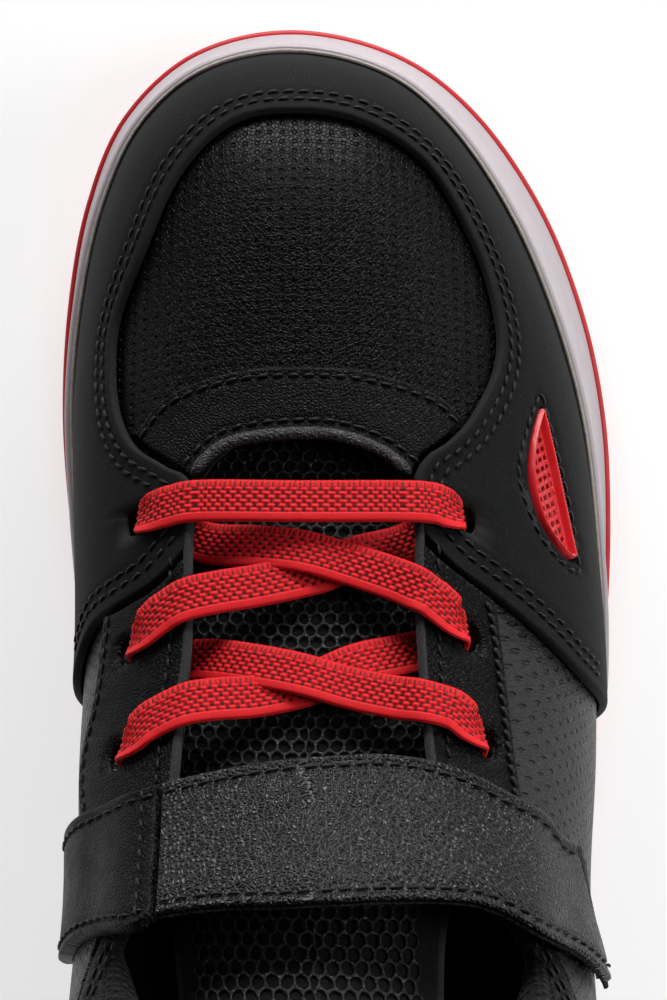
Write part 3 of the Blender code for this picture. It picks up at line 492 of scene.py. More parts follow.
def thread():
    made = Shader("black_thread", (0.003, 0.003, 0.0033), 0.45, Sheen_Weight=0.02, Specular_IOR_Level=0.22)
    made.bump(made.noise(0.12, 2.0), 0.05)
    made.tint(made.smooth(made.noise(0.5, 2.0), 0.6, 0.8, 0.0, 0.6), (0.016, 0.016, 0.0168))
    return made


def mesh_thread():
    made = Shader("black_glossy_thread", (0.004, 0.004, 0.0044), 0.36, Specular_IOR_Level=0.3)
    made.bump(made.noise(0.14, 2.0), 0.16)
    # Painted highlights: pale patches on the black threads stand in for their glints.
    made.tint(made.smooth(made.noise(0.42, 3.0, 0.7), 0.54, 0.7, 0.0, 0.8), (0.15, 0.15, 0.155))
    return made


def elastic():
    made = Shader("red_braided_elastic", (0.66, 0.004, 0.009), 0.6,
                  Sheen_Weight=0.03, Sheen_Roughness=0.5, Specular_IOR_Level=0.25)
    fibre = made.noise(0.1, 3.0, 0.6)
    made.bump(fibre, 0.05)
    made.tint(made.smooth(fibre, 0.5, 0.8, 0.0, 0.3), (0.8, 0.03, 0.035))
    made.tint(made.smooth(fibre, 0.45, 0.2, 0.0, 0.5), (0.3, 0.002, 0.006))
    # Painted shade: the braid's pits and the gaps between its wraps are darkened.
    made.tint(made.field("pit_shade"), (0.02, 0.0, 0.001))
    return made


def red_moulding(name="red_moulded_plastic", roughness=0.38):
    made = Shader(name, (0.58, 0.007, 0.012), roughness,
                  Subsurface_Weight=0.08, Subsurface_Radius=(0.0015, 0.0003, 0.0003))
    made.bump(made.noise(0.25, 3.0), 0.03)
    made.gloss(made.noise(2.0, 3.0), roughness - 0.08, roughness + 0.12)
    made.tint(made.smooth(made.noise(6.0, 2.0), 0.4, 0.8, 0.0, 0.35), (0.46, 0.005, 0.009))
    return made


def clear_rubber():
    """The cup's slightly milky grey rubber, with faint flow marks and dust."""
    made = Shader("grey_translucent_rubber", (0.385, 0.345, 0.367), 0.36,
                  Subsurface_Weight=0.25, Subsurface_Radius=(0.004, 0.003, 0.0035))
    made.bump(made.noise(0.8, 3.0), 0.02)
    made.tint(made.smooth(made.noise(14.0, 3.0), 0.4, 0.75, 0.0, 0.5), (0.36, 0.32, 0.345))
    made.tint(made.smooth(made.noise(0.7, 4.0), 0.66, 0.8, 0.0, 0.4), (0.55, 0.51, 0.51))
    made.gloss(made.noise(5.0, 3.0), 0.28, 0.46)
    return made


def lip_paint():
    made = Shader("ivory_lip_line", (0.5, 0.43, 0.39), 0.6)
    made.bump(made.noise(0.4, 3.0), 0.08)
    made.tint(made.smooth(made.noise(1.5, 3.0), 0.45, 0.75, 0.0, 0.7), (0.34, 0.29, 0.27))
    return made


def hooks(name="black_hook_and_loop"):
    made = Shader(name, (0.008, 0.008, 0.0085), 0.85, Sheen_Weight=0.08)
    made.bump(made.cells(0.55, "F1", None, 0.6), 0.35)
    made.bump(made.noise(0.15, 3.0), 0.15)
    made.tint(made.smooth(made.noise(0.3, 3.0), 0.6, 0.8, 0.0, 0.7), (0.05, 0.05, 0.052))
    return made


def plain_foam():
    made = Shader("white_foam", (0.72, 0.7, 0.66), 0.9)
    made.bump(made.cells(0.7, "F1"), 0.15)
    made.tint(made.smooth(made.noise(2.0, 3.0), 0.4, 0.8, 0.0, 0.4), (0.6, 0.58, 0.54))
    return made


def fibre_board():
    made = Shader("tan_fibre_board", (0.42, 0.36, 0.29), 0.9)
    made.bump(made.noise(0.5, 4.0), 0.12)
    made.tint(made.smooth(made.noise(1.0, 4.0), 0.45, 0.75, 0.0, 0.5), (0.3, 0.25, 0.2))
    return made


LOOKS = {}


def look(recipe):
    if recipe not in LOOKS:
        LOOKS[recipe] = recipe().material
    return LOOKS[recipe]


# ---------------------------------------------------------------------------------------------
# Meshes
# ---------------------------------------------------------------------------------------------


def add_piece(name, verts, faces, recipe, body="shoe", stands_for=(), fields=None, uv=None):
    """A mesh piece in millimetres, riding on a body and standing for these CAD nodes."""
    mesh = bpy.data.meshes.new(name)
    mesh.from_pydata((np.asarray(verts) * MM).tolist(), [], [list(map(int, face)) for face in faces])
    mesh.shade_smooth()
    for key, values in (fields or {}).items():
        layer = mesh.attributes.new(key, "FLOAT", "POINT")
        layer.data.foreach_set("value", np.asarray(values, np.float32))
    if uv is not None:
        loops = np.empty(len(mesh.loops), np.int32)
        mesh.loops.foreach_get("vertex_index", loops)
        layer = mesh.uv_layers.new(name="pattern")
        layer.data.foreach_set("uv", np.asarray(uv, np.float32)[loops].reshape(-1))
    mesh.materials.append(look(recipe))
    obj = bpy.data.objects.new(name, mesh)
    bpy.context.scene.collection.objects.link(obj)
    if isinstance(body, str):
        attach(obj, body)
    else:
        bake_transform(obj)
    if stands_for:
        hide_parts(*stands_for)
    return obj


def grid_faces(rows, columns, first=0, wrap=False):
    i, j = np.meshgrid(np.arange(rows if wrap else rows - 1), np.arange(columns - 1), indexing="ij")
    a = i * columns + j
    b = ((i + 1) % rows) * columns + j
    return (first + np.stack([a, b, b + 1, a + 1], axis=-1)).reshape(-1, 4)


def tube_faces(rows, columns):
    """Faces of a grid whose last column joins its first."""
    last = np.arange(rows - 1) * columns
    seam = np.stack([last + columns - 1, last + 2 * columns - 1, last + columns, last], axis=1)
    return np.vstack([grid_faces(rows, columns), seam])


def capped_tube_faces(rows, columns):
    ends = [np.arange(columns), np.arange(rows * columns - 1, (rows - 1) * columns - 1, -1)]
    return [*tube_faces(rows, columns), *ends]


def skirt_faces(border, count):
    """Faces between a border and the same border count points later."""
    after = np.roll(border, -1)
    return np.stack([after, border, border + count, after + count], axis=1)


def faces_against(verts, face, normal):
    """Whether a face looks away from this normal."""
    return np.cross(verts[face[1]] - verts[face[0]], verts[face[2]] - verts[face[0]]) @ normal < 0


def lift_at(lift, base):
    """A height above the form for each point, from a number or from a rule."""
    return np.asarray(lift(base) if callable(lift) else lift, float) + np.zeros(len(base))


def on_form(points):
    """The form's nearest points to these, and its outward normals there."""
    s, t = locate(points)
    return form(s, t), form_normal(s, t)


def border_of(rows, columns):
    index = np.arange(rows * columns).reshape(rows, columns)
    return np.concatenate([index[:, 0], index[-1, 1:], index[-2::-1, -1], index[0, -2:0:-1]])


def densified(points, step=0.3):
    out = []
    for first, second in zip(points, points[1:]):
        count = max(1, int(np.linalg.norm(second - first) / step))
        out.extend(first + (second - first) * k / count for k in range(count))
    return np.array(out + [points[-1]])


def distance_to(points, curve):
    tree = tree_of(densified(curve))
    return np.array([tree.find(point)[2] for point in points])


EYELETS = (
    (-28.3, 38.0), (-28.9, 20.0), (-29.7, 5.9),
    (17.9, 38.4), (18.2, 22.0), (20.2, 7.6),
)
EYELET_SIZE = (1.7, 2.2)


def eyelet_outlines():
    """Each eyelet's oval, on the form."""
    outlines = []
    angles = np.radians(np.arange(0, 360, 10))
    for x, y in EYELETS:
        (centre,), (normal,) = on_form(line((x, y)))
        ahead = unit(FORWARD - (FORWARD @ normal) * normal)
        side = np.cross(ahead, normal)
        centre = centre - [np.sign(x) * 0.3, 0, 0]
        wide, tall = EYELET_SIZE
        oval = wide * np.cos(angles)[:, None] * side + tall * np.sin(angles)[:, None] * ahead
        outlines.append(centre + oval)
    return outlines


EYELET_OUTLINES = eyelet_outlines()


def inside_outline(points, outline):
    """Which points lie inside a small closed outline on the form."""
    centre = outline.mean(axis=0)
    normal = form_normal(*locate(centre[None]))[0]
    side = unit(np.cross(FORWARD, normal))
    axes = np.stack([side, np.cross(normal, side)], axis=1)
    x, y = ((points - centre) @ axes).T
    ring = (outline - centre) @ axes
    within = np.zeros(len(points), bool)
    for (x0, y0), (x1, y1) in zip(ring, np.roll(ring, -1, axis=0)):
        crosses = (y0 > y) != (y1 > y)
        within ^= crosses & (x < x0 + (y - y0) * (x1 - x0) / (y1 - y0 + 1e-12))
    reach = np.linalg.norm(outline - centre, axis=1).max()
    return within & (np.linalg.norm(points - centre, axis=1) < 1.5 * reach)


def cut_hole(base, faces, outline):
    """Removes the faces inside an outline, and draws the rest up to it."""
    gone = inside_outline(base, outline)
    cut = gone[faces].any(axis=1)
    rim = np.unique(faces[cut])
    rim = rim[~gone[rim]]
    closed = np.vstack([outline, outline[:1]])
    ring = densified(closed, 0.1)
    tree = tree_of(ring)
    for index in rim:
        base[index] = ring[tree.find(base[index])[1]]
    return faces[~cut]


SEAM_WIDTH = 0.5


def skin(name, grid, lift, thickness, recipe, body="shoe", stands_for=(), roll=0.45,
         seams=(), groove=0.22, puff=0.0, closed=False, holes=(), pattern=None):
    """A pattern piece laid over the form: a rolled edge, sunk seams, and a skirt or an underside."""
    rows, columns = grid.shape[:2]
    base, normals = on_form(grid.reshape(-1, 3))
    top = lift_at(lift, base)
    low = top - thickness
    border = border_of(rows, columns)
    outer_edge = base[np.append(border, border[0])]
    faces = grid_faces(rows, columns)
    for outline in holes:
        faces = cut_hole(base, faces, outline)
    edge = distance_to(base, outer_edge)
    for outline in holes:
        edge = np.minimum(edge, distance_to(base, np.vstack([outline, outline[:1]])))
    if roll:
        curl = 1 - np.clip(edge / roll, 0, 1)
        top = top - roll * (1 - np.sqrt(1 - curl**2))
    for seam in seams:
        top = top - groove * np.exp(-(distance_to(base, seam) / SEAM_WIDTH) ** 2)
    if puff:
        top = top + puff * ease(edge, 0.0, 7.0)
    face = base + top[:, None] * normals
    middle = faces[len(faces) // 2]
    if faces_against(face, middle, normals[middle[0]]):
        faces = faces[:, ::-1]
    count = len(base)
    every = [faces]
    pairs = np.concatenate([faces[:, [k, (k + 1) % 4]] for k in range(4)])
    keys = {tuple(pair) for pair in pairs}
    rim_edges = [pair for pair in keys if pair[::-1] not in keys]
    every.append(np.array([(b, a, a + count, b + count) for a, b in rim_edges]))
    if closed:
        every.append(faces[:, ::-1] + count)
    rim = np.exp(-((edge / 0.5) ** 2))
    if pattern is None:
        laid = face.reshape(rows, columns, 3)
        u = np.concatenate([[0], np.cumsum(np.linalg.norm(np.diff(laid[:, columns // 2], axis=0), axis=1))])
        v = np.linalg.norm(np.diff(laid, axis=1), axis=2)
        v = np.concatenate([np.zeros((rows, 1)), np.cumsum(v, axis=1)], axis=1)
        uv = np.stack([np.broadcast_to(u[:, None], (rows, columns)), v], axis=-1).reshape(-1, 2)
    else:
        uv = pattern(base)
    verts = np.vstack([face, base + low[:, None] * normals])
    every = np.vstack(every)
    used = np.unique(every)
    lookup = np.full(len(verts), -1)
    lookup[used] = np.arange(len(used))
    fields = {"rim": np.concatenate([rim, np.ones(count)])[used]}
    uv = np.vstack([uv, uv])[used]
    return add_piece(name, verts[used], lookup[every], recipe, body, stands_for, fields, uv)


def capsule(sides=6):
    """One stitch along +X, one unit long and one unit thick, arched a little."""
    rings = [(-0.5, 0.25), (-0.44, 0.72), (-0.25, 1.0), (0.25, 1.0), (0.44, 0.72), (0.5, 0.25)]
    verts = []
    for x, reach in rings:
        for k in range(sides):
            angle = 2 * np.pi * k / sides
            verts.append((x, 0.5 * reach * np.cos(angle), 0.5 * reach * np.sin(angle)))
    faces = []
    for ring in range(len(rings) - 1):
        for k in range(sides):
            a, b = ring * sides + k, ring * sides + (k + 1) % sides
            faces.append((a, b, b + sides, a + sides))
    return np.array(verts), np.array(faces)


STITCH = capsule()


def stitches(name, seams, lift, body="shoe", pitch=2.15, length=1.7, width=0.52, lean=0.16):
    """Lockstitches along each seam: short leaning lengths of thread, sunk where they enter."""
    shape, shape_faces = STITCH
    verts, faces = [], []
    for number, seam in enumerate(seams):
        total = length_of(seam)
        count = max(2, int(total / pitch))
        base, normals = on_form(read_at(seam, (np.arange(count) + 0.5) / count))
        high = lift_at(lift, base)
        ahead = unit(np.gradient(base, axis=0)) if count > 2 else unit(np.diff(base, axis=0)[[0, 0]])
        for k in range(count):
            x = unit(ahead[k] - (ahead[k] @ normals[k]) * normals[k])
            y = np.cross(normals[k], x)
            x, y = x * np.cos(lean) + y * np.sin(lean), y * np.cos(lean) - x * np.sin(lean)
            jitter = 1 + 0.08 * np.sin(12.9 * k + 4.1 * number)
            local = shape * [length * jitter, width, width * 0.8]
            sink = 0.28 * (2 * shape[:, 0]) ** 4
            points = base[k] + local[:, :1] * x + local[:, 1:2] * y
            points = points + (local[:, 2:] + high[k] + 0.06 - sink[:, None]) * normals[k]
            faces.append(shape_faces + sum(map(len, verts)))
            verts.append(points)
    return add_piece(name, np.vstack(verts), np.vstack(faces), thread, body)


def cord_along(name, points, lift, width, height, recipe, body="shoe", sides=10):
    """A soft round or oval strip lying over the form along a line."""
    base, normals = on_form(spaced(points, max(8, int(length_of(points) / 0.8))))
    sideways = unit(np.cross(normals, unit(np.gradient(base, axis=0))))
    middle = base + lift_at(lift, base)[:, None] * normals
    rows = len(base)
    from_end = np.minimum(np.arange(rows), rows - 1 - np.arange(rows))
    taper = np.sqrt(np.clip((from_end + 0.15) / 2.0, 0, 1))
    rings = []
    for k in range(sides):
        angle = 2 * np.pi * k / sides
        across_by = 0.5 * width * np.cos(angle) * taper
        up_by = 0.5 * height * np.sin(angle) * taper
        rings.append(middle + across_by[:, None] * sideways + up_by[:, None] * normals)
    verts = np.stack(rings, axis=1).reshape(-1, 3)
    return add_piece(name, verts, capped_tube_faces(rows, sides), recipe, body)


# ---------------------------------------------------------------------------------------------
# The sole unit
# ---------------------------------------------------------------------------------------------

TOE_SPRING = 9.5
SPRING_START = 45.0
HEEL_BEVEL = 2.0
BEVEL_START = -100.0
OUTSOLE = 4.0
CUP_BOTTOM = OUTSOLE + 0.3
LIP = 1.5
FINE_STEPS = np.arange(0, LOOP, 0.1)


def ground(y):
    """The outsole's underside, which lifts at the toe and a little at the heel."""
    toe = np.clip((y - SPRING_START) / (116 - SPRING_START), 0, None) ** 2 * TOE_SPRING
    heel = np.clip((BEVEL_START - y) / 16, 0, None) ** 2 * HEEL_BEVEL
    return toe + heel


def lip_height(y):
    return np.interp(y, [-116, -60, -10, 50, 85, 116], [31, 28.5, 27, 27.5, 29, 31])


def ring(inset, height):
    """The sole's edge moved in by inset, at a height that may depend on y."""
    edge = along(EDGE, FINE_STEPS)
    points = edge - np.broadcast_to(inset, len(edge))[:, None] * along(OUTWARD, FINE_STEPS)
    points[:, 2] = height(edge[:, 1]) if callable(height) else height
    return points


def cup_inside(height, extra=0.0):
    """The cup's inner wall, which follows the form at this height."""
    t = np.linspace(0, 0.4, 60)
    wall = form(FINE_STEPS[:, None], t[None, :])
    wanted = height(wall[:, 0, 1])
    found = np.array([np.interp(z, w[:, 2], t) for z, w in zip(wanted, wall)])
    points = form(FINE_STEPS, found)
    away = np.interp(points[:, 1], [-57, -49, 8, 13], [1.85, 0.15, 0.15, 1.75]) + extra
    points = points + away[:, None] * along(OUTWARD, FINE_STEPS)
    points[:, 2] = wanted
    return points


def loft(name, rings, recipe, stands_for):
    """A ring-shaped body through these rings, open where the others hide it."""
    rings = np.array(rings)
    faces = tube_faces(*rings.shape[:2])[:, ::-1]
    return add_piece(name, rings.reshape(-1, 3), faces, recipe, stands_for=stands_for)


def arc(inset, low, high, radius, start, stop, steps=5):
    """Rings round a rounded edge of the sole, from one angle to another, in degrees."""
    rings = []
    for angle in np.radians(np.linspace(start, stop, steps)):
        across_by = inset + radius * (1 - np.cos(angle))
        up_by = radius * np.sin(angle)
        base = low if up_by < 0 else high
        rings.append(ring(across_by, lambda y: ground(y) + base + up_by))
    return rings


def make_outsole():
    """The red outsole: a rounded rim over a herringbone tread."""
    rim = arc(0.0, 1.2, OUTSOLE - 0.7, 1.2, -90, 0) + arc(0.0, 1.2, OUTSOLE - 0.7, 0.7, 0, 90)
    rim.append(ring(3.0, lambda y: ground(y) + OUTSOLE))
    rim[0:1] = [ring(4.5, ground), ring(2.8, ground), ring(1.3, ground)]
    edge = rim[0]
    # The tread is a grid of strips from side to side, and its grooves fade out near the rim.
    half = len(edge) // 2
    rows = np.linspace(0, half, 330)
    index = np.arange(len(edge))
    outer = np.stack([np.interp(rows, index, edge[:, k]) for k in range(3)], axis=1)
    inner = edge[(len(edge) - index) % len(edge)]
    inner = np.stack([np.interp(rows, index, inner[:, k]) for k in range(3)], axis=1)
    share = np.linspace(0, 1, 112)[None, :, None]
    grid = (outer[:, None] * (1 - share) + inner[:, None] * share).reshape(-1, 3)
    edge_gap = distance_to(grid * [1, 1, 0], edge[::3] * [1, 1, 0])
    zigzag = np.abs((grid[:, 0] / 14.0) % 1 - 0.5) * 2 * 8.0
    wave = ((grid[:, 1] + zigzag) / 5.6) % 1
    groove = ease(np.abs(wave - 0.5), 0.26, 0.34)
    waist = ease(np.abs(grid[:, 1] + 28), 20.0, 24.0)
    grid[:, 2] = ground(grid[:, 1]) + 1.5 * groove * ease(edge_gap, 1.2, 2.4) * waist
    rings = np.array(rim)
    verts = np.vstack([rings.reshape(-1, 3), grid])
    tread_faces = grid_faces(330, 112, first=len(verts) - len(grid))
    every = np.vstack([tube_faces(*rings.shape[:2]), tread_faces])[:, ::-1]
    add_piece("outsole_tread", verts, every, red_rubber, stands_for=["outsole"])


def make_cup():
    """The translucent grey cup: a slightly hollow wall up to a rounded lip."""
    foot = ring(0.9, lambda y: ground(y) + CUP_BOTTOM)
    shoulder_out = cup_inside(lip_height, LIP)
    lip = cup_inside(lip_height)
    rings = [ring(4.0, lambda y: ground(y) + CUP_BOTTOM), ring(1.25, lambda y: ground(y) + CUP_BOTTOM)]
    height = shoulder_out[:, 2] - foot[:, 2]
    outward = along(OUTWARD, FINE_STEPS)
    climb = [[0.0, 0.015, 0.03, 0.06], np.linspace(0.1, 0.86, 16), [0.9, 0.94, 0.97, 1.0]]
    for share in np.concatenate(climb):
        wall = foot * (1 - share) + shoulder_out * share
        bulge = -0.6 * np.sin(np.pi * share) + 0.1 * np.exp(-(((share - 0.03) / 0.03) ** 2))
        hollow = 0.2 * np.exp(-(((share - 0.9) / 0.05) ** 2))
        wall = wall + (bulge - hollow)[None] * outward
        wall[:, 2] = foot[:, 2] + height * share
        rings.append(wall)
    for angle in np.radians([20, 45, 70, 90, 115, 145, 175]):
        middle = 0.5 * (shoulder_out + lip)
        point = middle + (shoulder_out - middle) * np.cos(angle)
        point[:, 2] = middle[:, 2] + 0.9 * np.sin(angle)
        rings.append(point)
    rings.append(cup_inside(lambda y: lip_height(y) - 3.0))
    loft("cupsole_shell", rings, clear_rubber, ["cupsole"])
    lines = []
    for share, lift in ((0.42, 0.97), (0.06, 0.8)):
        point = shoulder_out * share + lip * (1 - share)
        point[:, 2] += lift
        lines.append(point)
    band = np.array([lines[0] - [0, 0, 0.5], lines[0], lines[1], lines[1] - [0, 0, 0.5]])
    loft("cup_lip_line", band, lip_paint, [])


def red_rubber():
    made = Shader("red_outsole_rubber", (0.52, 0.003, 0.008), 0.5)
    made.bump(made.noise(0.5, 3.0), 0.03)
    made.tint(made.smooth(made.noise(5.0, 3.0), 0.4, 0.8, 0.0, 0.5), (0.42, 0.002, 0.006))
    made.tint(made.smooth(made.noise(0.6, 4.0), 0.68, 0.8, 0.0, 0.3), (0.6, 0.08, 0.09))
    made.gloss(made.noise(3.0, 3.0), 0.42, 0.62)
    return made


# ---------------------------------------------------------------------------------------------
# The upper
# ---------------------------------------------------------------------------------------------

# Heights of each piece's outer face above the form.
OVERLAY = 1.7
STAY = 1.5
TIP = 1.2
STRAP_TOP = 4.3

WINDOW = (
    (-20.5, 43.5), (-24.0, 46.0), (-28.5, 49.0), (-31.0, 53.7), (-31.9, 60.0), (-31.4, 67.5),
    (-27.7, 77.5), (-22.0, 89.7), (-14.6, 96.5), (-5.5, 97.8), (3.0, 96.4), (12.8, 90.0),
    (19.9, 77.4), (22.6, 67.3), (22.3, 60.5), (18.8, 53.3), (15.3, 49.5), (12.2, 47.3), (10.6, 43.8),
)
THROAT_INNER = ((-20.4, 34.0), (-20.3, 27.0), (-20.3, 20.0), (-21.1, 13.0), (-21.4, 5.0), (-22.0, -3.0))
THROAT_OUTER = ((11.0, 35.4), (10.9, 27.0), (11.3, 17.0), (12.0, 7.2), (13.0, -2.0))
VENT_HIGH = ((28.6, 54.4), (27.3, 49.7), (27.0, 44.0), (28.4, 38.2), (30.9, 34.2), (32.6, 32.6))
VENT_LOW = ((29.0, 54.2), (30.2, 48.6), (31.7, 41.0), (32.8, 35.4), (33.3, 32.9))
VENT_CENTRE = np.array([30.3, 43.5])


def vent_line(places, grow=0.0):
    places = np.array(places)
    away = places - VENT_CENTRE
    return line(*(places + away * grow / np.linalg.norm(away, axis=1, keepdims=True)))


def almond(grow):
    """The vent's closed outline, grown by this much."""
    high = spaced(vent_line(VENT_HIGH, grow), 40)
    low = spaced(vent_line(VENT_LOW, grow), 40)
    return np.vstack([high, low[::-1], high[:1]])


def make_toe():
    window = line((-20.4, 34.7), *WINDOW, (11.4, 36.8))
    foot = foot_line(LOOP - 7.9, LOOP + 7.9, count=60)
    inner_end = line(
        (-35.6, 12.5, 42), (-35.6, 17.5, 49.5), (-33.6, 23.2, 54.8), (-30.2, 26.2), (-25.4, 29.4),
    )
    outer_end = line(
        (37.6, 11.0, 40), (36.2, 13.5, 49), (33.2, 17.2, 55), (27.5, 22.6), (20.8, 28.2), (16.0, 31.8),
    )
    grid = patch(foot, window, inner_end, outer_end, step=0.85, across=0.8)
    inner_rear = np.vstack([foot[:1], inner_end, window[:1]])
    outer_rear = np.vstack([window[-1:], outer_end[::-1], foot[-1:]])
    arch = line((-20.5, 43.5), *WINDOW[1:-1], (10.6, 43.8))
    rows = [offset_line(arch, inset) for inset in (1.9, 3.5)]
    rows += [offset_line(inner_rear[2:], inset) for inset in (2.4, 4.1)]
    rows += [offset_line(outer_rear[:-2], inset) for inset in (2.4, 4.1)]
    vent_seam = almond(2.0)

    def lift(points):
        """The overlay dips round the vent."""
        away = points[:, :2] - VENT_CENTRE
        near = distance_to(points, almond(0.3))
        dip = np.where(np.linalg.norm(away, axis=1) < 22, np.exp(-((near / 0.7) ** 2)) * 0.5, 0)
        return OVERLAY - dip

    skin("toe_overlay_panel", grid, lift, 1.2, nubuck, stands_for=["toe_overlay"],
         roll=0.5, seams=rows + [vent_seam], groove=0.3, holes=[*EYELET_OUTLINES, almond(0.9)])
    make_vent_opening()
    stitches("toe_stitching", rows, OVERLAY)
    stitches("vent_stitching", [vent_seam], OVERLAY)
    front = line(
        (-33.6, 53.5), (-34.6, 61.0), (-33.8, 70.0), (-30.6, 80.5), (-25.2, 92.2), (-16.0, 99.3),
        (-5.5, 101.0), (4.6, 99.4), (15.2, 92.2), (22.2, 79.8), (25.5, 68.5), (25.4, 59.5), (23.5, 53.5),
    )
    rear = line(
        (-30.5, 50.5), (-24.0, 52.6), (-14.0, 54.3), (-5.5, 54.8), (4.0, 54.0), (13.0, 52.0), (19.0, 50.0),
    )
    plan = lambda base: np.stack([base[:, 0] + 5.4, base[:, 1] + 0.0045 * (base[:, 0] + 5.4) ** 2], axis=1)
    skin("toe_box_panel", patch(front, rear), 0.0, 1.0, punched_leather,
         stands_for=["toe_box"], roll=0, pattern=plan)
    front = line(
        (-28.6, 50.6), (-24.8, 55.5), (-19.3, 58.3), (-12.4, 59.9), (-5.4, 60.2),
        (1.7, 59.9), (8.5, 58.4), (14.2, 56.1), (17.6, 52.8),
    )
    rear = line(
        (-20.2, 44.6), (-17.0, 48.0), (-13.7, 49.5), (-8.2, 50.3), (-2.3, 50.4),
        (1.5, 49.7), (5.8, 48.0), (8.6, 45.9), (10.0, 44.8),
    )
    start = line((-26.6, 48.9), (-23.4, 46.7))
    stop = line((14.2, 49.6), (11.4, 47.6))
    front_row = offset_line(front, -1.3)
    rear_row = offset_line(rear, 2.2)
    skin("vamp_tip_panel", patch(front, rear, start, stop, step=0.6), TIP, 0.9, black_leather,
         stands_for=["vamp_tip"], roll=0.6, seams=[front_row, rear_row], groove=0.3)
    stitches("vamp_tip_stitching", [front_row, rear_row], TIP, width=0.55)
    edge = offset_line(rear, 0.3)
    cord_along("vamp_tip_binding", edge, TIP - 0.35, 1.9, 1.7, cut_leather)


# How far out from the vent, and how high above the form, each ring of the overlay's edge lies.
VENT_EDGE = ((0.2, 0.3), (0.21, 0.9), (0.38, 1.25), (0.65, 1.45), (0.95, 1.52), (1.3, 1.52), (1.6, 1.45))


def make_vent_opening():
    """The overlay's smooth turned edge round the vent."""
    rings = []
    for grow, lift in VENT_EDGE:
        base, normals = on_form(almond(grow)[:-1])
        rings.append(base + lift * normals)
    count = len(rings[0])
    verts = np.vstack(rings)
    faces = tube_faces(len(rings), count)
    middle = faces[3 * count]
    if faces_against(verts, middle, form_normal(*locate(verts[middle[:1]]))[0]):
        faces = faces[:, ::-1]
    fields = {"rim": np.zeros(len(verts))}
    add_piece("vent_opening_edge", verts, faces, nubuck, fields=fields)


def cut_leather():
    """A turned leather edge, worn grey and grained."""
    made = Shader("black_turned_edge", (0.011, 0.011, 0.011), 0.5)
    pebble = made.smooth(made.cells(0.6, "DISTANCE_TO_EDGE", made.wobble(1.2 * MM, 0.8 * MM)), 0.0, 0.3)
    made.bump(pebble, 0.14)
    made.bump(made.noise(0.2, 3.0), 0.05)
    made.tint(made.smooth(made.noise(0.6, 3.0), 0.45, 0.75, 0.0, 0.8), (0.045, 0.043, 0.041))
    return made


def make_vent():
    """The moulded red vent: a lit rim, sloping walls and a sunken lattice."""
    u = np.linspace(0, 1, 150)
    v = np.concatenate([np.linspace(0, 0.12, 8), np.linspace(0.13, 0.87, 46), np.linspace(0.88, 1, 8)])
    low = read_at(vent_line(VENT_LOW), u)
    high = read_at(vent_line(VENT_HIGH), u)
    grid = ((1 - v)[None, :, None] * low[:, None] + v[None, :, None] * high[:, None]).reshape(-1, 3)
    base, normals = on_form(grid)
    edge = distance_to(base, almond(0.0))
    from_low = distance_to(base, spaced(vent_line(VENT_LOW), 60))
    rim = 2.05 - 0.4 * (1 - ease(edge, 0.0, 0.3))
    # The inner wall is steep, and the outer one is a long smooth slope down to the lattice.
    floor = 0.95
    height = rim + (floor - rim) * np.minimum(ease(edge, 0.35, 0.7), ease(from_low, 0.4, 1.1))
    # The lattice: square holes in rows that climb outwards.
    lengthwise = base[:, 1] - 0.5 * base[:, 0]
    sideways = base[:, 0] + 0.27 * (base[:, 1] - 43.5)
    from_middle = [(lengthwise / 1.45) % 1 - 0.5, (sideways / 0.84 + 0.1) % 1 - 0.5]
    square = np.maximum(np.abs(from_middle[0]) / 0.24, np.abs(from_middle[1]) / 0.31)
    hole = 1 - ease(square, 0.92, 1.15)
    hole *= ease(edge, 0.7, 0.9) * ease(from_low, 1.15, 1.3)
    height -= 0.75 * hole
    top = base + height[:, None] * normals
    under = base - 0.4 * normals
    rows, columns = len(u), len(v)
    faces = grid_faces(rows, columns)
    border = border_of(rows, columns)
    middle = faces[len(faces) // 2]
    if faces_against(top, middle, normals[middle[0]]):
        faces, border = faces[:, ::-1], border[::-1]
    every = np.vstack([faces, skirt_faces(border, len(top))])
    # The lattice's hole mask also sets where painted shade darkens the red.
    fields = {"pit_shade": np.concatenate([hole, 0 * hole])}
    add_piece("side_vent", np.vstack([top, under]), every, vent_red,
              stands_for=["vent_insert"], fields=fields)


def vent_red():
    made = red_moulding("red_vent_plastic", 0.35)
    # Painted shade: the lattice's holes are darkened.
    made.tint(made.field("pit_shade"), (0.16, 0.002, 0.004))
    return made


def side_pattern(base):
    """The quarters' pattern coordinates, wrapped from the side over towards the throat."""
    return np.stack([base[:, 1] + 0.15 * base[:, 2], base[:, 2] + 0.3 * np.abs(base[:, 0])], axis=1)


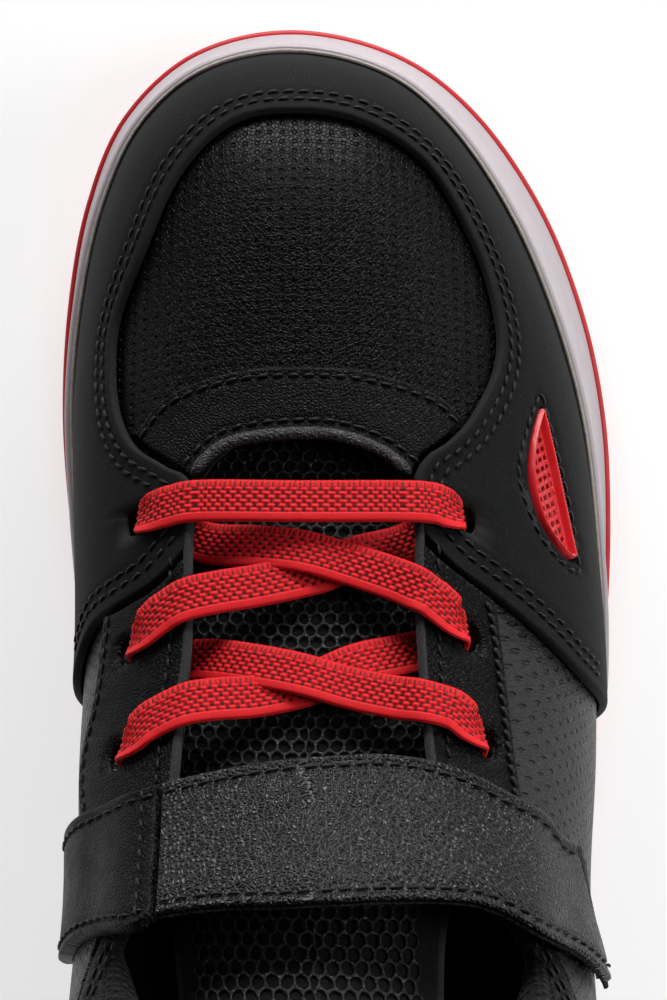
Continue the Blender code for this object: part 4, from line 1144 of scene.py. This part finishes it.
def make_sides():
    for side, name in ((1, "outer"), (-1, "inner")):
        middle = 0.4 + side * 0.4
        if side > 0:
            throat = ((13.0, 31.0), (13.0, 20.0), (13.4, 8.0), (14.4, -2.0), (17.0, -9.5), (24.0, -12.8))
            front = line((39.0, 16.0, 38), (36.0, 21.5, 51), (28.0, 28.0), (19.0, 32.0))
            foot = foot_line(7.3, HEEL - 0.02, count=40)
            top = line(*throat, *QUARTER_TOP, (0.8, -108.2, 82))
        else:
            throat = ((-21.9, 31.0), (-21.9, 20.0), (-22.7, 10.0), (-23.0, 2.0), (-25.0, -6.0))
            throat += ((-27.5, -11.5),)
            front = line((-37.5, 17.0, 38), (-37.0, 23.0, 50), (-32.5, 29.0, 57), (-27.0, 31.5))
            foot = foot_line(LOOP - 7.3, HEEL + 0.02, count=40)
            top = line(*throat, *across(QUARTER_TOP), (0.0, -108.2, 82))
        back = line(*((middle, -112.0 + 0.04 * z, z) for z in (45, 65)))
        grid = patch(foot, top, front, back, step=1.1)
        skin(f"quarter_{name}_panel", grid, 0.0, 1.0, side_leather,
             stands_for=[f"quarter_{name}"], roll=0, holes=EYELET_OUTLINES, pattern=side_pattern)
        places = [raised(QUARTER_TOP, 0.7 if side > 0 else 1.1), ((31.2, -17.0, 86.0), *COLLAR_TOP)]
        if side < 0:
            places = [across(group) for group in places]
        low = line(*places[0], (middle, -108.1, 82.7))
        high = line(*places[1], (middle, -107.0, 116))
        rows = [offset_line(low, side * -2.2), offset_line(low, side * -4.0)]
        skin(f"collar_panel_{name}_skin", patch(low, high, step=1.0), 0.1, 1.1, black_leather,
             stands_for=[f"collar_panel_{name}"], roll=0.5, seams=rows)
        stitches(f"collar_{name}_stitching", rows, 0.1)
    heel_top = line(
        (34.5, -62, 42), (33.4, -76, 60), (26.5, -94, 72), (14, -105, 76), (0.4, -109, 77),
        (-13.4, -105, 76), (-26.0, -94, 72), (-33.0, -76, 60), (-34.0, -62, 42),
    )
    foot = foot_line(12.1, LOOP - 12.1, count=40)
    whole = np.vstack([foot[:1], heel_top, foot[-1:]])
    rows = [offset_line(whole[1:-1], inset) for inset in (2.4, 4.2)]
    skin("heel_overlay_panel", patch(foot, heel_top, step=0.9), 1.8, 1.2, nubuck,
         stands_for=["heel_overlay"], roll=0.5, seams=rows)
    stitches("heel_stitching", rows, 1.8)
    low = line((8.0, -107.5, 77.6), (0.4, -109, 78.6), (-7.2, -107.5, 77.6))
    high = line((7.0, -106.5, 113.0), (0.4, -108, 115.0), (-6.2, -106.5, 113.0))
    edges = [line((7.9, -107.4, 79.5), (7.3, -106.9, 95.0), (6.9, -106.6, 111.5)),
             line((-7.1, -107.4, 79.5), (-6.5, -106.9, 95.0), (-6.1, -106.6, 111.5))]
    rows = [offset_line(edges[0], 1.6), offset_line(edges[1], -1.6)]
    skin("backstay_strip", patch(low, high, step=0.7), 1.3, 1.0, black_leather,
         stands_for=["backstay"], roll=0.5, seams=rows)
    stitches("backstay_stitching", rows, 1.3)


def side_leather():
    made = grained("black_side_leather", (0.014, 0.0138, 0.0138), 0.46, 0.6, 0.06, 0.3)
    return punched(made, (1.8, 1.5), 0.27, 0.42)


def make_stay(side, low, high, front, throat, outer_thread):
    """An eyelet strip beside the throat, with its cut edge bound in a fibrous strip."""
    name = "eyestay_inner" if side < 0 else "eyestay_outer"
    inner_row = offset_line(high, side * 2.6)
    outer_row = offset_line(low, side * -1.2)
    skin(f"{name}_panel", patch(low, high, front, step=0.7), STAY, 1.2, black_leather,
         stands_for=[name], roll=0.5, seams=[inner_row, outer_row], holes=EYELET_OUTLINES)
    stitches(f"{name}_stitching", [inner_row], STAY, width=0.5)
    stitches(f"{name}_outer_stitching", [outer_row], STAY, **outer_thread)
    edge = offset_line(throat, side * 0.2)
    cord_along(f"{name}_edge", edge, STAY - 0.55, 1.35, 1.6, cut_edge)


def make_stays():
    low = line((-31.6, 24.6, 57), (-32.2, 18.0, 59), (-32.4, 13.0, 60.5), (-33.0, 2.0, 63), (-32.0, -8.0, 72))
    high = line((-20.4, 33.9), *THROAT_INNER[1:], (-23.5, -8.5))
    throat = line((-20.3, 42.5), (-20.4, 38.0), *THROAT_INNER)
    make_stay(-1, low, high, line((-29.9, 25.6), (-25.0, 28.7)), throat, {"width": 0.5})
    low = line((21.2, 27.0), (22.0, 23.0), (23.0, 13.3), (24.0, 3.2), (25.5, -7.5))
    high = line((11.2, 35.5), *THROAT_OUTER[1:], (14.5, -8.5))
    throat = line((10.8, 42.5), (11.1, 38.0), *THROAT_OUTER)
    whipped = {"pitch": 1.7, "length": 1.6, "width": 0.9, "lean": 0.35}
    make_stay(1, low, high, line((15.6, 31.4)), throat, whipped)


QUARTER_TOP = (
    (29.5, -14.5, 81), (32.5, -22.0, 82.5), (34.0, -35, 86), (34.0, -55, 88),
    (33.0, -75, 86), (27.0, -94, 84), (14.0, -105, 83),
)
COLLAR_TOP = (
    (33.6, -22.5, 94), (34.3, -35, 104), (33.3, -52, 111), (32, -72, 112.5), (27, -92, 111.5),
    (15.5, -104, 113),
)


def collar_stuffing(points, start=80.0):
    back = np.clip((-14.0 - points[:, 1]) / 16.0, 0, 1)
    up = np.clip((points[:, 2] - start) / 12.0, 0, 1)
    return 5.6 * back * back * (3 - 2 * back) * up * up * (3 - 2 * up)


def lining_lift(points):
    heel = np.clip((-44.0 - points[:, 1]) / 10.0, 0, 1)
    low = np.clip((80.0 - points[:, 2]) / 8.0, 0, 1)
    behind = np.clip((-8.0 - points[:, 1]) / 8.0, 0, 1)
    padding = np.maximum(collar_stuffing(points, 73.0), 0.7 * behind) + 0.9 * behind
    return -1.7 - np.maximum(2.0 * heel * low, padding)


def make_collar_lining():
    """The padded lining: up the inside, and rolled over the collar's top edge."""
    places = raised(COLLAR_TOP, -0.4)
    foot = foot_line(LOOP - 8.2, HEEL, t=0.01, count=30)
    foot = np.vstack([foot, foot_line(HEEL, 8.2, t=0.01, count=30)[1:]])
    top = line(
        (-22.2, 4.4), (-23.6, -5.0), (-27.5, -12.0), (-31.4, -17.2, 84), *across(places), (0.4, -107, 115),
        *places[::-1], (30.6, -17.2, 85), (24.0, -13.5), (16.5, -9.0), (13.8, 5.2),
    )
    grid = patch(foot, top, step=1.5)
    base, normals = on_form(grid.reshape(-1, 3))
    face = (base + lining_lift(base)[:, None] * normals).reshape(grid.shape)
    crest = base.reshape(grid.shape)[:, -1]
    normal = normals.reshape(grid.shape)[:, -1]
    inner = lining_lift(crest)
    outer = -1.7 + 1.55 * ease(-crest[:, 1], 12.0, 20.0)
    centre = crest + ((inner + outer) / 2)[:, None] * normal
    radius = (outer - inner) / 2
    ahead = unit(np.gradient(crest, axis=0))
    up = np.cross(normal, ahead)
    up = np.where((up @ UP)[:, None] < 0, -up, up)
    over = []
    for angle in np.radians(np.linspace(0, 180, 13)[1:]):
        over.append(centre + radius[:, None] * (-np.cos(angle) * normal + 0.85 * np.sin(angle) * up))
    over.append(over[-1] - 1.5 * up)
    verts = np.concatenate([face, np.stack(over, axis=1)], axis=1)
    pad = add_piece("collar_padding", verts.reshape(-1, 3), grid_faces(*verts.shape[:2]), knitted,
                    stands_for=["collar_lining", "collar_foam"])


# ---------------------------------------------------------------------------------------------
# The tongue
# ---------------------------------------------------------------------------------------------

TONGUE_LIFT = -4.4
TONGUE_CENTRE = -4.6
TONGUE_START, TONGUE_STOP = 56.0, -37.0
TONGUE_BEND = ("shoe", "tongue_top", (-0.0033, -0.014, 0.090), (-0.003, -0.026, 0.106))


def tongue_points(y, x):
    """The form's points at these plan places, with x measured from the tongue's middle as a share."""
    half = np.interp(y, [-36, -22, -8, 20, 48, 57], [20, 21, 23, 26, 26, 23])
    centre = np.interp(y, [-38, -12, 50], [-1.5, TONGUE_CENTRE, TONGUE_CENTRE - 0.4])
    plan = np.stack([centre + half * x, y], axis=-1)
    s, t = locate(np.concatenate([plan, 0 * plan[:, :1]], axis=1), (0, 1))
    return form(s, t), form_normal(s, t)


def tongue_sink(base):
    back = np.clip((2.0 - base[:, 1]) / 22.0, 0, 1)
    side = np.clip(np.abs(base[:, 0] - TONGUE_CENTRE) / 22.0, 0, 1)
    return TONGUE_LIFT - 5.0 * back * side**2


def make_tongue():
    """A quilted pad with a bound edge, under an open net."""
    ys = np.linspace(TONGUE_START, TONGUE_STOP, 110)
    xs = np.concatenate([[-1.0, -0.99, -0.97], np.linspace(-0.94, 0.94, 56), [0.97, 0.99, 1.0]])
    y, x = np.meshgrid(ys, xs, indexing="ij")
    base, normals = tongue_points(y.reshape(-1), x.reshape(-1))
    rows, columns = y.shape
    outline = base[border_of(rows, columns)]
    edge = distance_to(base, np.vstack([outline, outline[:1]]))
    fat = np.sqrt(1 - (1 - np.clip(edge / 2.6, 0, 1)) ** 2)
    middle = tongue_sink(base) - 2.6
    half = 0.35 + 2.2 * fat
    quilt = 0.25 * np.sin(base[:, 1] / 7.0 * np.pi) ** 2 * ease(edge, 2.0, 6.0)
    top = base + (middle + half - quilt)[:, None] * normals
    low = base + (middle - half)[:, None] * normals
    verts = np.vstack([top, low])
    faces = grid_faces(rows, columns)
    border = border_of(rows, columns)
    centre_face = faces[len(faces) // 2]
    if faces_against(verts, centre_face, normals[centre_face[0]]):
        faces, border = faces[:, ::-1], border[::-1]
    count = len(top)
    every = np.vstack([faces, faces[:, ::-1] + count, skirt_faces(border, count)])
    inside = [f"tongue_{layer}_{length}" for layer in ("foam", "lining") for length in ("lower", "upper")]
    pad = add_piece("tongue_pad", verts, every, tongue_cloth, TONGUE_BEND, stands_for=inside)
    make_net()
    for side, name in ((-1, "inner"), (1, "outer")):
        ys = np.linspace(TONGUE_START - 2, TONGUE_STOP + 1.5, 60)
        points, _ = tongue_points(ys, np.full(60, side * 0.985))
        binding("tongue_binding_" + name, points)
    xs = np.linspace(-0.97, 0.97, 40)
    points, _ = tongue_points(np.full(40, TONGUE_STOP + 0.3), xs)
    binding("tongue_binding_top", points)


def binding(name, points):
    return cord_along(name, points, lambda base: tongue_sink(base) - 2.6, 2.6, 4.4, cut_edge,
                      TONGUE_BEND, sides=12)


def tongue_cloth():
    made = Shader("black_tongue_cloth", (0.003, 0.003, 0.0033), 0.95,
                  Sheen_Weight=0.03, Specular_IOR_Level=0.15)
    made.bump(made.cells(0.5, "F1", made.wobble(1.0 * MM, 0.4 * MM), 0.5), 0.15)
    made.tint(made.smooth(made.noise(0.5, 3.0), 0.55, 0.8, 0.0, 0.7), (0.012, 0.012, 0.0125))
    return made


NET_CELL = (2.05, 3.0)
HEXAGON = ((0, 2), (-1, 1), (-1, -1), (0, -2), (1, -1), (1, 1))


def make_net():
    """Rows of glossy hexagonal loops, 1.5 mm apart, laid over the pad's middle."""
    wide, tall = NET_CELL
    verts, faces, seen = [], [], {}

    def corner(x, y):
        key = (round(x * 50), round(y * 50))
        if key not in seen:
            seen[key] = len(verts)
            verts.append((x, y))
        return seen[key]

    rows = int((TONGUE_START - TONGUE_STOP - 4) / (tall / 2))
    for row in range(rows):
        y = TONGUE_START - 2.5 - row * tall / 2
        half = np.interp(y, [-36, -22, 20, 56], [16, 17, 18, 18])
        for column in range(-12, 13):
            x = (column + 0.5 * (row % 2)) * wide
            if abs(x) > half:
                continue
            faces.append([corner(x + a * wide / 2, y + b * tall / 6) for a, b in HEXAGON])
    plan = np.array(verts)
    stray_x = 0.12 * np.sin(plan[:, 0] * 7.3 + plan[:, 1] * 3.1)
    stray_y = 0.12 * np.cos(plan[:, 0] * 4.7 - plan[:, 1] * 5.9)
    y = plan[:, 1] + stray_y
    half = np.interp(y, [-36, -22, -8, 20, 48, 57], [20, 21, 23, 26, 26, 23])
    base, normals = tongue_points(y, (plan[:, 0] + stray_x) / half)
    bob = 0.16 * np.sin(plan[:, 0] * np.pi / wide * 2) * np.sin(plan[:, 1] * np.pi / tall * 2 + 0.7)
    points = base + (tongue_sink(base) + 0.15 + bob)[:, None] * normals
    net = bpy.data.meshes.new("tongue_net")
    net.from_pydata((points * MM).tolist(), [], faces)
    obj = bpy.data.objects.new("tongue_net", net)
    bpy.context.scene.collection.objects.link(obj)
    wires = obj.modifiers.new("threads", "WIREFRAME")
    wires.thickness = 0.36 * MM
    wires.use_boundary = True
    wires.use_even_offset = False
    smooth = obj.modifiers.new("round", "SUBSURF")
    smooth.levels = smooth.render_levels = 1
    graph = bpy.context.evaluated_depsgraph_get()
    made = bpy.data.meshes.new_from_object(obj.evaluated_get(graph))
    obj.modifiers.clear()
    obj.data = made
    made.materials.clear()
    made.materials.append(look(mesh_thread))
    made.shade_smooth()
    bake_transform(obj)
    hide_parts("tongue_face_lower", "tongue_face_upper")


# ---------------------------------------------------------------------------------------------
# The strap
# ---------------------------------------------------------------------------------------------

STRAP_FRONT = (
    (-22.3, 1.5), (-16.8, 3.0), (-9.4, 4.5), (-3.0, 5.2), (4.6, 5.6), (10.7, 4.8), (16.1, 3.0),
    (21.3, 0.1), (25.8, -2.4), (30.2, -4.8, 72), (32.4, -6.8, 66.5),
)
STRAP_REAR = (
    (-22.3, -14.5), (-15.9, -13.3), (-4.4, -12.6), (6.6, -12.4), (15.7, -13.1), (19.8, -14.6),
    (24.6, -17.4), (28.6, -20.4, 79.5), (31.6, -23.8, 73.5), (33.6, -26.6, 67),
)
# The leather starts a little past the seam it turns on, and leaves the backing's end to show.
SEAM_GAP = 0.35
END_GAP = 3.3


def strap_lift(points):
    """The strap stands over the throat and hugs the side where it is fastened."""
    return STRAP_TOP - 1.6 * ease(points[:, 0], 23.0, 30.5)


def anchor_lift(points):
    return STRAP_TOP - 2.2 * ease(-points[:, 0], 25.0, 32.5)


def make_strap():
    front = line(*STRAP_FRONT)
    rear = line(*STRAP_REAR)
    short = []
    for edge in (rear, front):
        length = length_of(edge)
        short.append(read_at(edge, np.linspace(SEAM_GAP / length, 1 - END_GAP / length, 80)))
    rows = [offset_line(short[1], -1.7), offset_line(short[0], 1.7)]
    skin("strap_leather", patch(*short, step=0.75), strap_lift, 1.0, strap_leather,
         "strap", stands_for=["strap_outer"], roll=0.4, seams=rows, groove=0.35, puff=0.25, closed=True)
    stitches("strap_stitching", rows, strap_lift, "strap")
    skin("strap_backing_felt", patch(rear, front, step=0.75), lambda base: strap_lift(base) - 0.85, 0.7,
         knitted, "strap", stands_for=["strap_backing"], roll=0.2, closed=True)
    tape_rear = line((30.2, -20.6, 76.5), (32.8, -23.6, 70))
    tape_front = line((28.4, -5.6, 73.5), (31.6, -8.0, 68.5))
    skin("strap_hook_tape", patch(tape_rear, tape_front, step=0.6), 1.2, 0.4, hooks, "strap",
         stands_for=["hook_tape"], roll=0.15, closed=True)
    patch_rear = line((29.6, -19.6, 77.5), (34.0, -25.6, 64))
    patch_front = line((27.2, -5.4, 75.5), (33.4, -9.0, 62))
    skin("quarter_loop_patch", patch(patch_rear, patch_front, step=0.6), 0.75, 0.6, hooks,
         stands_for=["loop_patch"], roll=0.2)
    low = line((-22.55, -14.55), (-25.6, -16.2), (-29.5, -18.8, 79), (-33.0, -22.0, 70), (-34.0, -24.0, 60))
    high = line((-22.55, 1.4), (-28.2, -0.2), (-32.0, -3.0, 67), (-34.4, -6.5, 58))
    seam = np.array([low[0], 0.5 * (low[0] + high[0]), high[0]])
    rows = [offset_line(low, -1.7), offset_line(high, 1.7)]
    skin("strap_anchor_panel", patch(low, high, step=0.7), anchor_lift, 2.0, black_leather,
         stands_for=["strap_anchor"], roll=0.35, seams=rows, groove=0.3)
    rows.append(offset_line(seam, 1.9))
    stitches("strap_anchor_stitching", rows, anchor_lift)


# ---------------------------------------------------------------------------------------------
# The elastic lace
# ---------------------------------------------------------------------------------------------

LACE_WIDTH = 6.2
BEAD = (1.43, 0.62)
WRAP = 0.71
WRAP_ZONE = 1.2
ROLLED_ZONE = 1.25
OVER = 2.5
BELOW = -3.25


def through(eyelet, side, climb, downwards=True):
    """A hairpin through an eyelet: (x, y, lift, bunched) from above to below, or the other way."""
    x, y = eyelet
    above = [(4.6, OVER, 0), (2.6, OVER, 0.1), (1.3, OVER - 0.05, 0.35), (0.55, OVER - 0.3, 0.7)]
    above.append((0.15, 1.4, 0.95))
    below = [(0.0, 0.2, 1), (0.0, -1.7, 1), (0.7, BELOW + 0.1, 1), (2.6, BELOW, 0.3)]
    x -= 0.9 * side
    y += 0.2
    hairpin = [(x - side * back, y + climb * (back + 0.7), lift, bunch) for back, lift, bunch in above]
    hairpin += [(x - side * back, y, lift, bunch) for back, lift, bunch in below]
    return hairpin if downwards else hairpin[::-1]


def lace_route():
    inner, outer = EYELETS[:3], EYELETS[3:]
    route = [(-25.6, 5.6, BELOW, 0.3)]
    route += through(inner[2], -1, 0.84, downwards=False)
    route += [(-20.2, 12.7, 2.3, 0), (-16.5, 14.0, 0.9, 0), (-10.7, 15.5, -1.6, 0), (-3.8, 17.4, -2.7, 0)]
    route += [(3.0, 20.0, -2.9, 0), (9.4, 21.2, BELOW, 0)]
    route += through(outer[1], 1, 0.88, downwards=False)
    route += [(10.6, 28.3, 2.4, 0), (7.6, 30.3, 0.9, 0), (1.7, 32.9, -0.9, 0)]
    route += [(-5.3, 34.8, -1.0, 0), (-12.2, 35.8, -2.1, 0), (-19.2, 36.4, BELOW, 0)]
    route += through(inner[0], -1, 0.32, downwards=False)
    route += [(-18.6, 40.7, 2.3, 0), (-5.3, 40.8, 1.6, 0), (8.2, 40.6, 2.3, 0)]
    route += through(outer[0], 1, 0.32)
    route += [(10.1, 36.2, BELOW, 0), (3.1, 34.5, -2.8, 0), (-2.5, 32.4, -2.6, 0), (-10.5, 30.2, -1.2, 0)]
    route += [(-16.6, 28.4, 1.0, 0), (-20.4, 26.9, 2.4, 0)]
    route += through(inner[1], -1, 0.9)
    route += [(-19.0, 20.6, BELOW, 0), (-12.1, 19.5, -1.6, 0), (-5.2, 18.1, -0.9, 0), (1.7, 16.2, -0.8, 0)]
    route += [(7.4, 14.4, 0.7, 0), (11.0, 13.2, 2.4, 0)]
    route += through(outer[2], 1, 0.8)
    route += [(16.6, 7.4, BELOW, 0.3)]
    return np.array(route, float)


def make_lace():
    """One flat braided ribbon, a bead of yarn for each loop of the braid."""
    route = lace_route()
    s, t = locate(line(*((x, y) for x, y in route[:, :2])))
    normals = form_normal(s, t)
    middle = form(s, t) + route[:, 2:3] * normals
    gaps = np.linalg.norm(np.diff(middle, axis=0), axis=1)
    walked = np.concatenate([[0], np.cumsum(gaps)])
    fine = np.arange(0, walked[-1], 0.2)
    place = np.interp(fine, walked, np.arange(len(walked)))
    centre = along(middle, place, closed=False)
    bunch = np.interp(place, np.arange(len(route)), route[:, 3])
    travel = unit(np.gradient(centre, axis=0))
    normal = form_normal(*locate(centre))
    # Across the ribbon is square to its travel, but it turns to the fold line near an eyelet.
    ahead = unit(FORWARD - (normal @ FORWARD)[:, None] * normal)
    square = (1 - ease(bunch, 0.0, 0.6)) * (ahead * travel).sum(1)
    wide = unit(ahead - square[:, None] * travel)
    thick = unit(np.cross(travel, wide))
    half_width = LACE_WIDTH / 2 * (1 - bunch) + 2.1 * bunch
    dive = 0.8 * 4 * bunch * (1 - bunch)
    v = np.sin(np.linspace(-0.5, 0.5, 52) * np.pi) * 0.25 + np.linspace(-1, 1, 52) * 0.75
    faces_of, pits = [], []
    for face in (1, -1):
        order = v * face
        from_top = LACE_WIDTH / 2 * (1 - order)
        row = (from_top - WRAP_ZONE) / BEAD[1]
        shifted = fine[:, None] + BEAD[0] / 2 * (np.floor(row) % 2)[None, :]
        bead_along = 0.5 + 0.5 * np.cos(2 * np.pi * shifted / BEAD[0])
        bead_across = (0.5 - 0.5 * np.cos(2 * np.pi * row))[None, :]
        bead = bead_along**0.6 * (0.45 + 0.55 * bead_across)
        wrap = (0.5 + 0.5 * np.cos(2 * np.pi * fine / WRAP))[:, None] ** 0.7
        rolled = (0.5 + 0.5 * np.cos(2 * np.pi * fine / 0.5))[:, None]
        in_wrap = (1 - ease(from_top, WRAP_ZONE - 0.1, WRAP_ZONE + 0.05))[None, :]
        in_roll = ease(from_top, LACE_WIDTH - ROLLED_ZONE - 0.1, LACE_WIDTH - ROLLED_ZONE + 0.1)[None, :]
        in_beads = (1 - in_wrap) * (1 - in_roll)
        height = 0.36 * bead * in_beads + 0.26 * wrap * in_wrap + (0.24 + 0.05 * rolled) * in_roll
        # Painted shade mask: the pits between the beads and the gaps under the wraps, darkened in the
        # elastic's colour.
        pit_shade = ease(0.42 - bead_along, 0.0, 0.2) * ease(bead_across, 0.1, 0.5) * in_beads
        gap = ease(from_top, 0.3, 0.5)[None, :] * in_wrap
        pit_shade = pit_shade + ease(0.42 - wrap, 0.0, 0.3) * gap
        profile = np.sqrt(np.clip(1 - np.abs(order) ** 7, 0, 1))[None, :]
        lift = 0.36 * profile + height * np.clip(profile * 1.6, 0, 1) - 0.1
        rows = centre[:, None] + (order[None, :] * half_width[:, None])[:, :, None] * wide[:, None]
        rows = rows + (face * lift)[:, :, None] * thick[:, None]
        rows = rows - (dive[:, None] * (1 - order[None, :] ** 2))[:, :, None] * normal[:, None]
        faces_of.append(rows)
        pits.append(np.clip(pit_shade, 0, 1) + 0 * lift)
    verts = np.concatenate(faces_of, axis=1)
    faces = capped_tube_faces(*verts.shape[:2])
    add_piece("elastic_lace_braid", verts.reshape(-1, 3), faces, elastic,
              stands_for=["elastic_lace"], fields={"pit_shade": np.concatenate(pits, axis=1).reshape(-1)})


# ---------------------------------------------------------------------------------------------
# Carried-over pieces, stage, light and camera
# ---------------------------------------------------------------------------------------------


def finish_nodes():
    """Procedural finishes for the pieces inside the shoe, which keep their CAD shape."""
    kept = {
        "midsole_foam": plain_foam, "strobel_board": fibre_board, "insole_foam": plain_foam,
        "vamp_lining": knitted, "heel_counter": fibre_board,
    }
    for node, recipe in kept.items():
        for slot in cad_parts[node].material_slots:
            slot.material = look(recipe)


def make_insole():
    rows = np.linspace(0, HEEL, 140)
    edge = along(EDGE, rows)
    inset = wall_inset(edge) + 2.4
    outer = edge - inset[:, None] * along(OUTWARD, rows)
    back = (LOOP - rows) % LOOP
    edge = along(EDGE, back)
    inner = edge - (wall_inset(edge) + 2.4)[:, None] * along(OUTWARD, back)
    share = np.linspace(0, 1, 60)[None, :, None]
    grid = outer[:, None] * (1 - share) + inner[:, None] * share
    grid[..., 2] = feather_height(grid[..., 1])
    flat = grid.reshape(-1, 3)
    outline = np.vstack([outer, inner[::-1]])
    edge_gap = distance_to(flat * [1, 1, 0], outline * [1, 1, 0])
    flat[:, 2] += 4.7 - 0.4 * (1 - ease(edge_gap, 0, 1.2)) + 1.2 * (1 - ease(edge_gap, 0, 8.0))
    low = flat.copy()
    low[:, 2] = feather_height(flat[:, 1]) + 3.9
    border = border_of(*grid.shape[:2])
    faces = grid_faces(*grid.shape[:2])
    if faces_against(flat, faces[len(faces) // 2], UP):
        faces, border = faces[:, ::-1], border[::-1]
    every = np.vstack([faces, skirt_faces(border, len(flat))])
    cover = add_piece("insole_top_cover", np.vstack([flat, low]), every, knitted,
                      stands_for=["insole_cover"])


def make_stage():
    mesh = bpy.data.meshes.new("floor")
    mesh.from_pydata([(-3, -3, 0), (3, -3, 0), (3, 3, 0), (-3, 3, 0)], [], [(0, 1, 2, 3)])
    floor = bpy.data.objects.new("floor", mesh)
    bpy.context.scene.collection.objects.link(floor)
    made = Shader("pale_floor", (0.5, 0.5, 0.5), 0.8, Emission_Color=(1, 1, 1, 1), Emission_Strength=0.62)
    made.bump(made.noise(1.0, 3.0), 0.02)
    made.tint(made.smooth(made.noise(60.0, 2.0), 0.4, 0.8, 0.0, 0.3), (0.485, 0.485, 0.49))
    mesh.materials.append(made.material)


def add_light(name, place, size, power, colour=(1, 1, 1)):
    target = Vector((0, 0.02, 0.05))
    data = bpy.data.lights.new(name, "AREA")
    data.shape = "RECTANGLE"
    data.size, data.size_y = size
    data.energy = power
    data.color = colour
    obj = bpy.data.objects.new(name, data)
    obj.location = place
    obj.rotation_euler = (target - Vector(place)).to_track_quat("-Z", "Y").to_euler()
    bpy.context.scene.collection.objects.link(obj)


def make_light():
    """Soft light from the toe and both sides, with a dim zenith that leaves the black leather black."""
    world = bpy.data.worlds.new("studio")
    world.use_nodes = True
    nodes, links = world.node_tree.nodes, world.node_tree.links
    place = nodes.new("ShaderNodeTexCoord")
    split = nodes.new("ShaderNodeSeparateXYZ")
    level = nodes.new("ShaderNodeMapRange")
    level.interpolation_type = "SMOOTHSTEP"
    for name, value in (("From Min", 0.1), ("From Max", 0.9), ("To Min", 0.42), ("To Max", 0.04)):
        level.inputs[name].default_value = value
    links.new(place.outputs["Generated"], split.inputs[0])
    links.new(split.outputs["Z"], level.inputs["Value"])
    side = nodes.new("ShaderNodeVectorMath")
    side.operation = "DOT_PRODUCT"
    side.inputs[1].default_value = (0.6, 0.4, 0)
    links.new(place.outputs["Generated"], side.inputs[0])
    lean = nodes.new("ShaderNodeMath")
    lean.inputs[1].default_value = 0.72
    links.new(side.outputs["Value"], lean.inputs[0])
    both = nodes.new("ShaderNodeMath")
    both.operation = "MULTIPLY"
    links.new(level.outputs[0], both.inputs[0])
    links.new(lean.outputs[0], both.inputs[1])
    links.new(both.outputs[0], nodes["Background"].inputs["Strength"])
    nodes["Background"].inputs["Color"].default_value = (1, 1, 1, 1)
    bpy.context.scene.world = world
    bpy.context.scene.view_settings.view_transform = "Standard"
    add_light("key_softbox", (0.78, 0.12, 0.55), (0.35, 0.5), 3.3)
    add_light("toe_softbox", (0.0, 1.0, 0.32), (0.9, 0.35), 12.8)
    add_light("inner_softbox", (-0.9, 0.2, 0.45), (0.4, 0.8), 0.7)


def make_camera():
    data = bpy.data.cameras.new("camera")
    data.sensor_width = 36.0
    data.lens = 99.43
    camera = bpy.data.objects.new("camera", data)
    camera.location = (-0.0006, 0.0415, 0.45)
    bpy.context.scene.collection.objects.link(camera)
    bpy.context.scene.camera = camera


def main():
    make_outsole()
    make_cup()
    make_toe()
    make_vent()
    make_sides()
    make_stays()
    make_collar_lining()
    make_tongue()
    make_strap()
    make_lace()
    make_insole()
    finish_nodes()
    make_stage()
    make_light()
    make_camera()


main()
